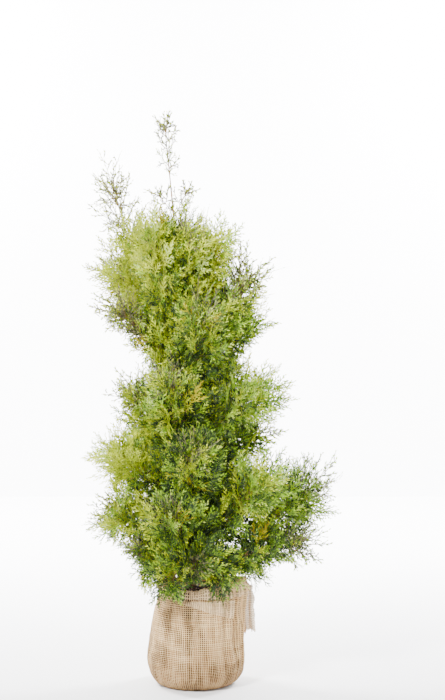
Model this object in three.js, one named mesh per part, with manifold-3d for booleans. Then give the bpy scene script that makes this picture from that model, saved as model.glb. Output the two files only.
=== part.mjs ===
// A young thuja lifted from the nursery row, standing on its root ball, which is wrapped in hessian.
// One stem runs from the soil to the leader's tip. Boughs rise from it all round, each one tapering
// limb that ends in a plume: a stem of its own, side twigs, and flat toothed sprays of scale leaves.
// The cloth is a skin round the soil, gathered to a collar round the stem, with one corner folded
// down in front and the ends tied in a knot on the right, from which a tail of cloth hangs.
// Millimetres, +Z up, +X to the right and -Y towards the front. The origin is the centre of the flat
// underside of the root ball.
import * as THREE from "three";
import Module from "manifold-3d";
import { mergeVertices } from "three/addons/utils/BufferGeometryUtils.js";

const wasm = await Module();
wasm.setup();

// ---- Driving dimensions ----------------------------------------------------------------------
const HEIGHT = 1317; // from the ground to the leader's tip
const BALL_HEIGHT = 214; // shoulder of the root ball
const BALL_WIDTH = 224; // across its widest part
const BELLY_HEIGHT = 66; // where it is widest
const BALL_NECK = 196; // across its shoulder
const BALL_FOOT = 148; // across the flat underside
const SOIL_TOP = 226; // top of the soil, where the stem comes out
const GAP = 0.35; // between pieces that touch
const SHOULDER_TUCK = 9; // how far the ball's top edge turns in

const KNOT_BEARING = THREE.MathUtils.degToRad(352); // where the cloth is tied
const PLEATS = 11; // in the cloth, fanning out from there
const COLLAR_RADIUS = 90; // to the middle of the gathered roll
const COLLAR_THICK = 9; // half of the roll's thickness
const COLLAR_HIGH = 10; // half of its height
const CORNER_FROM = THREE.MathUtils.degToRad(260); // the folded corner's point
const CORNER_TO = THREE.MathUtils.degToRad(320); // its far end, under the knot
const CORNER_TOP = 203;
const CORNER_DROP = [196, 158]; // its lower edge at the point and at the far end
const CORNER_THICK = 2.6;
const CORNER_SEAT = 0.72; // from the ball's facets to its back
const KNOT_SIZE = [14, 11, 16];
const KNOT_HEIGHT = 214;
const TAIL_X = 123; // where the tail of cloth hangs
const TAIL_Y = 14;
const TAIL_TOP = 199;
const TAIL_FOOT = 110;
const TAIL_WIDTH = [8, 15]; // half width at its top and foot
const TAIL_THICK = [4.5, 3];

const STEM_FOOT_X = -11; // where the stem leaves the soil
const STEM_LEAN = -63; // how far the leader's tip lies to the left of the foot
const STEM_BOW = 16; // how far the stem bows to the right between them
const STEM_SWAY = 9; // the same from front to back
const STEM_TOP = 1196; // where the woody stem ends and the leader's own spray begins
const STEM_RADIUS = 7.4; // above the root flare
const STEM_TIP_RADIUS = 1.3;
const FLARE = 5.5; // what the root flare adds to the radius at the soil
const FLARE_HEIGHT = 26; // height in which the flare fades out

const BOUGH_SHARE = 0.58; // a bough's foot radius, as a share of the stem's there
const BOUGH_TAPER = 0.62; // its radius where it enters the plume, as a share of its foot
const PLUME_TIP_RADIUS = 0.8;
const STALK_RADIUS = 1.9; // of a leading spray's stalk, at its root
const SUNK = 3.4; // from the axis of what carries a side spray to the thick of its own foot
const STALK_SHARE = 0.34; // its length, as a share of the fan's reach
const SPRAY_THICK = 1.8;
const SPRAY_WIDTH = 0.46; // a spray's width, as a share of its length
const OPEN_WIDTH = 0.34; // the same in the plumes that are open all through
const TIP_SPRAY = 0.8; // of a plume's last spray, as a share of its spread
const TIP_SPRAY_LEAST = 18;
const TIP_SHARE = 0.34; // of the plume's length that its last spray may take
const FULL_MIDDLE = 0.28; // how much further the middle fans of a plume reach than the ends
const OPPOSITE_LEAN = 0.86; // the lean of the sprays opposite the fans, as a share of theirs
const TWISTS = [2.2, 2.4, 1.6]; // the range of twist of a fan, an opposite spray and a tip, in radians

const CORE_WIDTH = 0.58; // a plume's core is a share of its spread, where its space allows
const CORE_SIDES = 8;
const CORE_RINGS = 6;
const CORE_HOLLOW = 0.56; // its radius in the hollows between its tufts, as a share
const CORE_CLEAR = 4; // what it leaves of its space all round
const CORE_LEAST = 2.6; // its radius where there is no room for more
const CORE_GROWTH = 2; // the steps in which its radius is tried

const SPRAY_SIZES = [1, 0.84, 0.68, 0.54]; // the sizes at which a spray is tried in its space
const COLLAR_TOP = 250; // below this nothing green stands over the ball
const BALL_CLEAR = 11; // what the foliage keeps from the ball
const TAIL_CLEAR = 24; // and from the tail's middle line
const MARGIN = 1.2; // and from other plumes and the stem
const CURVE_STEPS = 28; // in the traces that distances are taken to

const FIRST_SEED = 1009;
const SEED_STEP = 7717;
const LEADER_SEED = 90001;
const GOLDEN_ANGLE = THREE.MathUtils.degToRad(137.5);
const TWIG_LEAN = THREE.MathUtils.degToRad(52); // between a twig and the stem that it leaves
const SIDE_LEAN = THREE.MathUtils.degToRad(58); // between a side spray and its stalk
const TURN_UP = 0.28; // how far a leading spray turns up from its stalk
const LEADING_LENGTH = 0.86; // of a leading spray's blade, as a share of the fan's reach
const SIDE_SPRAYS = [
  [0.36, 1, 0.66],
  [0.72, -1, 0.6],
]; // share of the stalk at which each one stands, its side, and its length as a share of the reach

// The boughs, from the foot of the crown to its top, one to a row: its name; foot, the height at which
// it leaves the stem; bearing, the way it points (0 right, 90 back, 180 left, 270 front); reach and
// tip, how far out and how high its plume ends; sweep and lift, how far out and how far up (as shares)
// the bend lies; limb, the share of it that is a bare limb; dense, the share at which its dense inside
// ends; spread, how far its side sprays reach; and fans, how many fans of them it bears. Those with
// limb 0 spring from the stem itself, those with dense 0 are open all through, and the aprons hang
// down over the edge of the cloth.
const BOUGHS = [
  ["left_apron", 262, 200, 124, 208, 0.84, -1.1, 0, 0, 70, 1],
  ["front_apron", 247, 249, 156, 172, 0.74, -1.0, 0, 0, 92, 2],
  ["right_apron", 250, 14, 196, 244, 0.6, -5.5, 0.12, 0.78, 90, 3],
  ["front_foot", 258, 276, 172, 266, 0.6, 9, 0, 0.78, 96, 3],
  ["back_foot", 262, 104, 152, 336, 0.6, 0.7, 0, 0.74, 90, 3],
  ["left_foot", 270, 196, 160, 322, 0.6, 0.8, 0, 0.74, 86, 2],
  ["right_low", 268, 352, 318, 350, 0.55, 0.5, 0.2, 0.68, 84, 3],
  ["right_sail", 296, 6, 340, 514, 0.74, 0.38, 0.2, 0.78, 122, 3],
  ["left_low", 322, 178, 232, 414, 0.6, 0.62, 0.14, 0.74, 114, 3],
  ["front_low", 312, 252, 168, 456, 0.7, 0.4, 0, 0.76, 108, 3],
  ["right_inner", 334, 334, 238, 556, 0.62, 0.36, 0.14, 0.74, 108, 3],
  ["back_low", 350, 58, 212, 496, 0.66, 0.35, 0.16, 0.74, 112, 3],
  ["left_mid", 404, 190, 222, 572, 0.6, 0.6, 0.16, 0.72, 118, 3],
  ["front_mid", 424, 272, 172, 604, 0.7, 0.36, 0.14, 0.76, 110, 3],
  ["back_mid", 446, 128, 196, 630, 0.7, 0.36, 0.16, 0.74, 112, 3],
  ["right_mid", 452, 14, 194, 628, 0.6, 0.5, 0.14, 0.76, 112, 3],
  ["left_waist", 494, 174, 168, 724, 0.5, 0.6, 0.14, 0.76, 114, 3],
  ["right_waist", 540, 350, 242, 708, 0.42, 0.74, 0.16, 0.76, 110, 3],
  ["front_waist", 558, 252, 146, 770, 0.7, 0.4, 0, 0.76, 108, 3],
  ["back_waist", 584, 60, 174, 792, 0.7, 0.4, 0, 0.74, 108, 3],
  ["left_shoulder", 672, 194, 214, 888, 0.4, 0.74, 0.14, 0.7, 76, 3],
  ["right_shoulder", 650, 4, 192, 872, 0.42, 0.72, 0.14, 0.76, 108, 3],
  ["front_shoulder", 690, 290, 146, 930, 0.72, 0.4, 0, 0.76, 106, 3],
  ["back_shoulder", 708, 122, 132, 920, 0.72, 0.42, 0, 0.74, 98, 3],
  ["left_crown", 738, 168, 206, 1014, 0.5, 0.64, 0.14, 0.76, 110, 3],
  ["right_shoot", 742, 350, 148, 1030, 0.96, 0.32, 0.2, 0.7, 98, 3],
  ["back_crown", 764, 64, 138, 1030, 0.72, 0.42, 0, 0.74, 102, 3],
  ["front_crown", 800, 228, 108, 1118, 0.8, 0.46, 0, 0.74, 104, 3],
  ["right_crown", 834, 340, 96, 1100, 0.74, 0.4, 0, 0.74, 98, 3],
  ["left_plume", 862, 182, 176, 1230, 0.84, 0.44, 0.14, 0.58, 92, 3],
  ["front_top", 884, 288, 70, 1098, 0.78, 0.4, 0, 0.76, 94, 2],
  ["leader_left", 1086, 190, 42, 1148, 0.7, 0.4, 0, 0, 46, 1],
  ["leader_right", 1072, 4, 44, 1160, 0.5, 0.5, 0, 0, 48, 1],
  ["corner_apron", 243, 303, 156, 174, 0.78, -1.5, 0, 0, 80, 2],
].map(([name, foot, bearing, reach, tip, sweep, lift, limb, dense, spread, fans]) => {
  return { name, foot, bearing, reach, tip, sweep, lift, limb, dense, spread, fans };
});
const LEADER = { name: "leader", foot: STEM_TOP, tip: HEIGHT, limb: 0, dense: 0, spread: 66, fans: 2 };

// ---- Finishes --------------------------------------------------------------------------------
const finish = (color, roughness) =>
  new THREE.MeshStandardMaterial({ color, roughness, metalness: 0 });
const HESSIAN = finish("#c2a27f", 0.95);
const SOIL = finish("#4a3426", 1);
const BARK = finish("#7d5a41", 0.9);
const FOLIAGE = finish("#7f8f3a", 0.7);

// ---- Solids ----------------------------------------------------------------------------------
// A closed solid from a geometry whose faces point out.
function solid(geometry) {
  const bare = new THREE.BufferGeometry();
  bare.setAttribute("position", geometry.getAttribute("position"));
  bare.setIndex(geometry.getIndex());
  const merged = mergeVertices(bare, 1e-4);
  return new wasm.Manifold(
    new wasm.Mesh({
      numProp: 3,
      vertProperties: new Float32Array(merged.attributes.position.array),
      triVerts: new Uint32Array(merged.index.array),
    }),
  );
}

// A named mesh from a solid.
function piece(name, shape, material) {
  const { numProp, numVert, vertProperties, triVerts } = shape.getMesh();
  const places = new Float32Array(numVert * 3);
  for (let i = 0; i < numVert; i++)
    places.set(vertProperties.subarray(i * numProp, i * numProp + 3), i * 3);
  const geometry = new THREE.BufferGeometry();
  geometry.setAttribute("position", new THREE.BufferAttribute(places, 3));
  geometry.setIndex(new THREE.BufferAttribute(triVerts, 1));
  geometry.computeVertexNormals();
  const mesh = new THREE.Mesh(geometry, material);
  mesh.name = name;
  return mesh;
}

// A closed skin over rings of points that all have the same count, from first ring to last.
function lofted(rings) {
  const sides = rings[0].length;
  const places = rings.flat().flatMap((p) => [p.x, p.y, p.z]);
  const faces = [];
  for (let i = 0; i + 1 < rings.length; i++)
    for (let j = 0; j < sides; j++) {
      const a = i * sides + j;
      const b = i * sides + ((j + 1) % sides);
      faces.push(a, b, b + sides, a, b + sides, a + sides);
    }
  const last = (rings.length - 1) * sides;
  for (let j = 1; j + 1 < sides; j++) {
    faces.push(0, j + 1, j);
    faces.push(last, last + j, last + j + 1);
  }
  const geometry = new THREE.BufferGeometry();
  geometry.setAttribute("position", new THREE.Float32BufferAttribute(places, 3));
  geometry.setIndex(faces);
  return geometry;
}

const UP = new THREE.Vector3(0, 0, 1);
const RIGHT = new THREE.Vector3(1, 0, 0);

// Two unit vectors square to a direction and to each other.
function square(direction) {
  const side = direction.clone().cross(Math.abs(direction.z) > 0.97 ? RIGHT : UP).normalize();
  return [side, side.clone().cross(direction).normalize()];
}

// A tapering round limb along a curve, from one share of it to another.
function limb(curve, from, to, radiusAt, sides, steps) {
  const rings = [];
  for (let i = 0; i <= steps; i++) {
    const share = from + ((to - from) * i) / steps;
    const centre = curve.getPoint(share);
    const [side, lift] = square(curve.getTangent(share));
    const radius = radiusAt(i / steps);
    rings.push(
      Array.from({ length: sides }, (_, j) => {
        const turn = (-2 * Math.PI * j) / sides;
        return centre
          .clone()
          .addScaledVector(side, radius * Math.cos(turn))
          .addScaledVector(lift, radius * Math.sin(turn));
      }),
    );
  }
  return solid(lofted(rings));
}

// ---- Root ball -------------------------------------------------------------------------------
const BALL_SIDES = 36;

// Radius of the ball at a height, before the pleats: a tuck under, a full belly, straighter sides.
function ballRadius(z) {
  const belly = BALL_WIDTH / 2;
  if (z < BELLY_HEIGHT) {
    const up = z / BELLY_HEIGHT;
    return BALL_FOOT / 2 + (belly - BALL_FOOT / 2) * Math.sqrt(1 - (1 - up) ** 2.4);
  }
  const up = Math.min(1, (z - BELLY_HEIGHT) / (BALL_HEIGHT - BELLY_HEIGHT));
  return BALL_NECK / 2 + (belly - BALL_NECK / 2) * (1 - up) ** 1.3;
}

// Pleats that fan out from the knot and fade towards the underside and round the far side.
function pleat(turn, z) {
  const fromKnot = Math.cos(turn - KNOT_BEARING) * 0.5 + 0.5;
  const height = Math.min(1, z / BALL_HEIGHT);
  return Math.cos(PLEATS * turn + 0.6) * (0.7 + 2.6 * fromKnot ** 3) * height ** 1.6;
}

function ballPoint(turn, z, outwards) {
  const radius = ballRadius(z) + pleat(turn, z) + outwards;
  return new THREE.Vector3(radius * Math.cos(turn), radius * Math.sin(turn), z);
}

function rootBall() {
  const heights = [0, 6, 20, 42, BELLY_HEIGHT, 98, 134, 170, 202, BALL_HEIGHT];
  const rings = heights.map((z) => {
    const tuck = z === BALL_HEIGHT ? SHOULDER_TUCK : 0;
    return Array.from({ length: BALL_SIDES }, (_, j) => ballPoint((2 * Math.PI * j) / BALL_SIDES, z, -tuck));
  });
  return solid(lofted(rings));
}

// A low mound of soil inside the collar.
function soilTop() {
  const radius = 70;
  const foot = BALL_HEIGHT + GAP;
  const rise = SOIL_TOP - foot;
  const outline = [
    new THREE.Vector2(0, foot),
    new THREE.Vector2(radius, foot),
    new THREE.Vector2(radius * 0.82, foot + rise * 0.55),
    new THREE.Vector2(radius * 0.42, SOIL_TOP),
    new THREE.Vector2(0, SOIL_TOP),
  ];
  return solid(new THREE.LatheGeometry(outline, 18).rotateX(Math.PI / 2));
}

// The gathered edge of the cloth, a slack roll that stands round the soil, highest beside the knot.
function collar() {
  const section = 8;
  const turns = 26;
  const rings = [];
  for (let i = 0; i < turns; i++) {
    const turn = (-2 * Math.PI * i) / turns;
    const wave = Math.sin(5 * turn + 1) + 0.6 * Math.sin(9 * turn);
    const nearKnot = (0.5 + 0.5 * Math.cos(turn - KNOT_BEARING)) ** 4;
    const high = COLLAR_HIGH + 1.6 * wave + 3.5 * nearKnot;
    rings.push(
      Array.from({ length: section }, (_, j) => {
        const round = (2 * Math.PI * j) / section;
        const lift = Math.max(0, high + high * Math.sin(round));
        const out = COLLAR_RADIUS + 1.5 * wave + COLLAR_THICK * Math.cos(round);
        return new THREE.Vector3(out * Math.cos(turn), out * Math.sin(turn), BALL_HEIGHT + GAP + lift);
      }),
    );
  }
  return rings;
}

// A closed ring of sections, with no ends.
function looped(rings) {
  const sides = rings[0].length;
  const places = rings.flat().flatMap((p) => [p.x, p.y, p.z]);
  const faces = [];
  rings.forEach((_, i) => {
    const here = i * sides;
    const next = ((i + 1) % rings.length) * sides;
    for (let j = 0; j < sides; j++) {
      const k = (j + 1) % sides;
      faces.push(here + j, here + k, next + k, here + j, next + k, next + j);
    }
  });
  const geometry = new THREE.BufferGeometry();
  geometry.setAttribute("position", new THREE.Float32BufferAttribute(places, 3));
  geometry.setIndex(faces);
  return solid(geometry);
}

// A patch of cloth that lies on the ball between two turns, its edges given by functions of the share.
function patch(fromTurn, toTurn, lowAt, highAt, thick, across, along) {
  const face = (outwards) =>
    Array.from({ length: (across + 1) * (along + 1) }, (_, n) => {
      const i = n % (across + 1);
      const j = Math.floor(n / (across + 1));
      const share = i / across;
      const turn = fromTurn + (toTurn - fromTurn) * share;
      const z = lowAt(share) + (highAt(share) - lowAt(share)) * (j / along);
      return ballPoint(turn, z, outwards);
    });
  const places = [...face(CORNER_SEAT), ...face(CORNER_SEAT + thick)].flatMap((p) => [p.x, p.y, p.z]);
  const count = (across + 1) * (along + 1);
  const faces = [];
  const quad = (a, b, c, d) => faces.push(a, b, c, a, c, d);
  for (let j = 0; j < along; j++)
    for (let i = 0; i < across; i++) {
      const a = j * (across + 1) + i;
      const b = a + across + 1;
      quad(a, b, b + 1, a + 1);
      quad(count + a, count + a + 1, count + b + 1, count + b);
    }
  for (let i = 0; i < across; i++) {
    const top = along * (across + 1) + i;
    quad(i, i + 1, count + i + 1, count + i);
    quad(top + 1, top, count + top, count + top + 1);
  }
  for (let j = 0; j < along; j++) {
    const left = j * (across + 1);
    const right = left + across;
    quad(left + across + 1, left, count + left, count + left + across + 1);
    quad(right, right + across + 1, count + right + across + 1, count + right);
  }
  const geometry = new THREE.BufferGeometry();
  geometry.setAttribute("position", new THREE.Float32BufferAttribute(places, 3));
  geometry.setIndex(faces);
  return solid(geometry);
}

// The corner of the cloth that is folded down over the front, a triangle with its point to the left.
function foldedCorner() {
  const [atPoint, atEnd] = CORNER_DROP;
  const lowAt = (share) => atPoint + (atEnd - atPoint) * share;
  return patch(CORNER_FROM, CORNER_TO, lowAt, () => CORNER_TOP, CORNER_THICK, 6, 3);
}

// The tied ends: a squat lump beside the collar.
function knot() {
  const centre = new THREE.Vector3(TAIL_X - 13, TAIL_Y, KNOT_HEIGHT);
  const lump = new THREE.IcosahedronGeometry(1, 1).scale(...KNOT_SIZE);
  const place = lump.getAttribute("position");
  for (let i = 0; i < place.count; i++) {
    const p = new THREE.Vector3().fromBufferAttribute(place, i);
    const pinch = 1 + 0.1 * Math.sin(p.y * 0.5) * Math.cos(p.z * 0.4);
    p.multiplyScalar(pinch).add(centre);
    place.setXYZ(i, p.x, p.y, p.z);
  }
  return solid(lump);
}

// The tail of cloth under the knot, pleated, widening as it hangs down beside the ball.
function tail() {
  const steps = 5;
  const count = 8; // points along each face
  const between = ([top, foot], down) => top + (foot - top) * down;
  const rings = [];
  for (let i = 0; i <= steps; i++) {
    const down = i / steps;
    const z = between([TAIL_TOP, TAIL_FOOT], down);
    const width = between(TAIL_WIDTH, down);
    const point = (k, outwards) => {
      const across = (k / (count - 1)) * 2 - 1;
      const fold = 2 * down * Math.sin(7 * across);
      const y = TAIL_Y + 0.25 * across * width + fold + outwards;
      return new THREE.Vector3(TAIL_X + across * width, y, z);
    };
    const front = Array.from({ length: count }, (_, k) => point(k, 0));
    const back = Array.from({ length: count }, (_, k) => point(count - 1 - k, between(TAIL_THICK, down)));
    rings.push([...back, ...front].reverse());
  }
  return solid(lofted(rings));
}

// ---- Stem ------------------------------------------------------------------------------------
// The stem's axis at a height. Its share of the plant's height above the soil sets lean and bow.
function stemAt(z) {
  const share = (z - SOIL_TOP) / (HEIGHT - SOIL_TOP);
  return new THREE.Vector3(
    STEM_FOOT_X + STEM_LEAN * share + STEM_BOW * Math.sin(Math.PI * share),
    STEM_SWAY * Math.sin(2 * Math.PI * share),
    z,
  );
}

function stemRadius(z) {
  const share = (z - SOIL_TOP) / (STEM_TOP - SOIL_TOP);
  const taper = STEM_RADIUS + (STEM_TIP_RADIUS - STEM_RADIUS) * share ** 0.85;
  return taper + FLARE * Math.exp(-(z - SOIL_TOP) / (FLARE_HEIGHT / 2));
}

function stem(extra, foot) {
  const sides = 10;
  const heights = [0, 5, 12, 26, 50].map((up) => foot + up); // closer together in the flare
  for (let z = foot + 100; z < STEM_TOP - 30; z += 72) heights.push(z);
  heights.push(STEM_TOP + (extra ? 4 : 0));
  const rings = heights.map((z) => {
    const centre = stemAt(z);
    const radius = stemRadius(Math.max(SOIL_TOP, z)) + extra;
    return Array.from({ length: sides }, (_, j) => {
      const turn = (2 * Math.PI * j) / sides;
      return new THREE.Vector3(centre.x + radius * Math.cos(turn), centre.y + radius * Math.sin(turn), z);
    });
  });
  return solid(lofted(rings));
}

// ---- Growth ----------------------------------------------------------------------------------
// A repeatable run of numbers from 0 to 1.
function dice(seed) {
  let state = seed;
  return () => {
    state = (state * 16807) % 2147483647;
    return state / 2147483647;
  };
}

// The line that a bough and its plume follow, from the stem's axis to the plume's tip.
function boughCurve(bough) {
  const turn = THREE.MathUtils.degToRad(bough.bearing);
  const out = new THREE.Vector3(Math.cos(turn), Math.sin(turn), 0);
  const start = stemAt(bough.foot);
  const rise = bough.tip - bough.foot;
  const bend = start.clone().addScaledVector(out, bough.reach * bough.sweep);
  bend.z += rise * bough.lift;
  const end = start.clone().addScaledVector(out, bough.reach);
  end.z += rise;
  return new THREE.QuadraticBezierCurve3(start, bend, end);
}

// The leader: the last stretch of the stem, bare below and forked above.
function leaderCurve() {
  return new THREE.QuadraticBezierCurve3(stemAt(STEM_TOP), stemAt(STEM_TOP + 60), stemAt(HEIGHT));
}

// One spray: where its stalk is rooted, how the stalk runs to the blade's foot, the way the blade
// points, the normal of its plane, and its length. A plume's plan is its sprays, in groups: a leading
// one on a long stalk, those that stand on that stalk, and the ones on the plume's own stem.
function planPlume(curve, bough, seed) {
  const roll = dice(seed);
  const groups = [];
  const length = curve.getLength();
  const tipSpray = Math.min(TIP_SPRAY * bough.spread + TIP_SPRAY_LEAST, length * TIP_SHARE);
  const stemEnd = 1 - tipSpray / length;
  const run = stemEnd - bough.limb;
  const twisted = (range) => lie(bough) + (roll() - 0.5) * range;
  let turn = roll() * 2 * Math.PI;
  for (let k = 0; k < bough.fans; k++) {
    const share = bough.limb + (run * (k + 0.5)) / bough.fans;
    turn += GOLDEN_ANGLE;
    const middle = Math.sin((Math.PI * (k + 0.7)) / (bough.fans + 0.4));
    const fullness = 1 - FULL_MIDDLE + FULL_MIDDLE * middle;
    const reach = bough.spread * fullness * (0.86 + 0.28 * roll());
    const stalk = leaning(curve, share, turn, TWIG_LEAN).multiplyScalar(reach * STALK_SHARE);
    const sides = bough.dense && k === 0 ? 0 : bough.fans < 3 ? 2 : 1 + (k % 2);
    const twist = twisted(TWISTS[0]);
    groups.push(fan(curve.getPoint(share), stalk, reach, twist, sides, share < bough.dense));
    if (bough.dense && k === bough.fans - 1) break;
    const aside = Math.min(stemEnd - 0.02, share + (0.45 * run) / bough.fans);
    const heading = leaning(curve, aside, turn + Math.PI, TWIG_LEAN * OPPOSITE_LEAN);
    groups.push([
      {
        root: curve.getPoint(aside),
        stalk: heading.clone().multiplyScalar(SUNK + 1.5),
        heading,
        normal: fanNormal(heading, twisted(TWISTS[1])),
        length: reach * (0.86 + 0.2 * roll()),
        pointed: true,
      },
    ]);
  }
  const foot = curve.getPoint(stemEnd);
  const heading = curve.getPoint(1).sub(foot).normalize();
  const back = curve.getTangent(stemEnd).multiplyScalar(-3);
  groups.push([
    {
      root: foot.clone().add(back),
      stalk: back.negate(),
      heading,
      normal: fanNormal(heading, twisted(TWISTS[2])),
      length: tipSpray,
    },
  ]);
  return { groups, stemEnd };
}

// How far the sprays of a plume are turned from upright: those that hang over the cloth lie against it.
function lie(bough) {
  return bough.tip < bough.foot ? Math.PI / 2 : 0;
}

// A unit vector that leans away from a curve, towards a turn about it.
function leaning(curve, share, turn, lean) {
  const along = curve.getTangent(share);
  const [side, lift] = square(along);
  const away = side.multiplyScalar(Math.cos(turn)).addScaledVector(lift, Math.sin(turn));
  return along.multiplyScalar(Math.cos(lean)).addScaledVector(away, Math.sin(lean)).normalize();
}

// The normal of a spray's plane, which holds its heading and stands upright apart from a twist.
function fanNormal(heading, twist) {
  const [side, lift] = square(heading);
  return side.multiplyScalar(Math.cos(twist)).addScaledVector(lift, Math.sin(twist)).normalize();
}

// A fan of sprays in about one plane: the leading one, turned up a little, and one on each side.
function fan(root, stalk, reach, twist, count, pointed) {
  const along = stalk.clone().normalize();
  const heading = along.clone().addScaledVector(UP, TURN_UP).normalize();
  const normal = fanNormal(heading, twist);
  const across = normal.clone().cross(along).normalize();
  const flat = along.clone().cross(across);
  const sides = SIDE_SPRAYS.slice(0, count).map(([share, way, length]) => {
    const aside = along
      .clone()
      .multiplyScalar(Math.cos(SIDE_LEAN))
      .addScaledVector(across, way * Math.sin(SIDE_LEAN))
      .normalize();
    return {
      root: root.clone().addScaledVector(stalk, share).addScaledVector(flat, STALK_RADIUS * 0.3),
      stalk: aside.clone().multiplyScalar(SUNK),
      heading: aside,
      normal: flat,
      length: length * reach,
      pointed: true,
    };
  });
  return [{ root, stalk, heading, normal, length: reach * LEADING_LENGTH, pointed }, ...sides];
}

// A spray's outline, as shares of its length and half width, down one side from stalk to tip, with
// the other side's teeth set back by a little, as they alternate.
const TEETH = [
  [0.3, 1],
  [0.43, 0.36],
  [0.64, 0.84],
  [0.74, 0.28],
];
const SET_BACK = 0.04;

// A blade with teeth and one ridge, flat below, on a three-sided stalk whose root is a point sunk in
// what carries it. It comes with the points that test its space.
function sprayShape({ root, stalk, heading, normal, length, pointed }, widthShare) {
  const across = normal.clone().cross(heading).normalize();
  const half = (length * widthShare) / 2;
  const foot = root.clone().add(stalk);
  const at = (x, y, z) =>
    foot.clone().addScaledVector(heading, x).addScaledVector(across, y).addScaledVector(normal, z);
  const radius = pointed ? STALK_RADIUS * 0.7 : STALK_RADIUS;
  const ring = (centre, size) => [
    centre.clone().addScaledVector(across, -size),
    centre.clone().addScaledVector(normal, size * 1.2),
    centre.clone().addScaledVector(across, size),
  ];
  const right = TEETH.map(([x, y]) => at((x + SET_BACK) * length, -y * half, 0));
  const left = TEETH.map(([x, y]) => at(x * length, y * half, 0));
  const tip = at(length, 0, 0);
  const rings = pointed ? [ring(foot, radius)] : [ring(root, radius), ring(foot, radius * 0.75)];
  const places = [...(pointed ? [root] : []), ...rings.flat()];
  const faces = [];
  if (pointed) faces.push(0, 1, 2, 0, 2, 3, 0, 3, 1);
  else {
    faces.push(0, 1, 2);
    for (let i = 0; i < 3; i++) {
      const next = (i + 1) % 3;
      faces.push(i, i + 3, next + 3, i, next + 3, next);
    }
  }
  const [footRight, footTop, footLeft] = [3, 2, 1].map((n) => places.length - n);
  const ridge = places.length;
  const count = TEETH.length;
  const edge = [footRight];
  for (let i = 1; i <= 2 * count + 1; i++) edge.push(ridge + i);
  edge.push(footLeft);
  places.push(at(length * 0.47, 0, SPRAY_THICK), ...right, tip, ...left.reverse());
  for (let i = 0; i + 1 < edge.length; i++) faces.push(ridge, edge[i], edge[i + 1]);
  faces.push(ridge, footLeft, footTop, ridge, footTop, footRight);
  for (let i = 0; i < count; i++) {
    const [a, b] = [edge[i], edge[i + 1]];
    const [c, d] = [edge.at(-1 - i), edge.at(-2 - i)];
    faces.push(a, c, b, b, c, d);
  }
  faces.push(edge[count], edge.at(-1 - count), edge[count + 1]);
  const geometry = new THREE.BufferGeometry();
  const numbers = places.flatMap((p) => [p.x, p.y, p.z]);
  geometry.setAttribute("position", new THREE.Float32BufferAttribute(numbers, 3));
  geometry.setIndex(faces);
  const rim = places.slice(ridge + 1);
  const midway = rim.slice(1).map((p, i) => p.clone().lerp(rim[i], 0.5));
  const spine = [0.15, 0.35, 0.6, 0.85].map((share) => at(share * length, 0, 0));
  const shank = pointed ? [] : [0.5, 0.8, 1].map((share) => root.clone().addScaledVector(stalk, share));
  return { geometry, tests: [...rim, ...midway, ...spine, ...shank] };
}

// ---- Space of each plume ---------------------------------------------------------------------
const plants = BOUGHS.map((bough, i) => {
  const curve = boughCurve(bough);
  return { ...bough, curve, seed: FIRST_SEED + SEED_STEP * i };
});
plants.push({ ...LEADER, curve: leaderCurve(), seed: LEADER_SEED, onTip: true });

for (const plant of plants) {
  plant.trace = plant.curve.getPoints(CURVE_STEPS);
  plant.plan = planPlume(plant.curve, plant, plant.seed);
  const footRadius = plant.onTip ? STEM_TIP_RADIUS : BOUGH_SHARE * stemRadius(plant.foot);
  plant.limbRadius = (s) => footRadius * (1 + (BOUGH_TAPER - 1) * s);
}

// Distance from a point to a line of points.
const segment = new THREE.Line3();
const nearest = new THREE.Vector3();
function distanceTo(point, trace) {
  let best = Infinity;
  for (let i = 0; i + 1 < trace.length; i++) {
    segment.set(trace[i], trace[i + 1]).closestPointToPoint(point, true, nearest);
    best = Math.min(best, nearest.distanceTo(point));
  }
  return best;
}

// A point is in a plume's own space if its curve is the nearest, and nothing woody or wrapped is close.
function inOwnSpace(point, plant) {
  const own = distanceTo(point, plant.trace);
  const fromStem = point.distanceTo(stemAt(point.z));
  if (point.z < STEM_TOP && fromStem < stemRadius(point.z) + MARGIN) return false;
  const fromAxis = Math.hypot(point.x, point.y);
  if (point.z < BALL_HEIGHT && fromAxis < ballRadius(point.z) + BALL_CLEAR) return false;
  if (point.z < COLLAR_TOP && fromAxis < BALL_WIDTH / 2) return false;
  if (point.z < COLLAR_TOP && Math.hypot(point.x - TAIL_X, point.y - TAIL_Y) < TAIL_CLEAR) return false;
  return plants.every((other) => other === plant || distanceTo(point, other.trace) > own + MARGIN);
}

// The dense inside of a plume: a slack spindle round its line that keeps to its own space all round.
function core(plant) {
  const from = plant.limb + 0.05;
  const rings = [];
  for (let i = 0; i <= CORE_RINGS; i++) {
    const along = i / CORE_RINGS;
    const share = from + (plant.dense - from) * along;
    const centre = plant.curve.getPoint(share);
    const [side, lift] = square(plant.curve.getTangent(share));
    const wide = plant.spread * CORE_WIDTH * Math.sin(Math.PI * (0.1 + 0.82 * along ** 0.8));
    rings.push(
      Array.from({ length: CORE_SIDES }, (_, j) => {
        const turn = (-2 * Math.PI * j) / CORE_SIDES;
        const away = side.clone().multiplyScalar(Math.cos(turn)).addScaledVector(lift, Math.sin(turn));
        const clearAt = (radius) =>
          inOwnSpace(centre.clone().addScaledVector(away, radius + CORE_CLEAR), plant);
        let radius = CORE_LEAST;
        while (radius < wide && clearAt(radius)) radius += CORE_GROWTH;
        return centre.clone().addScaledVector(away, radius * ((i + j) % 2 ? CORE_HOLLOW : 1));
      }),
    );
  }
  return solid(lofted(rings));
}

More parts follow.
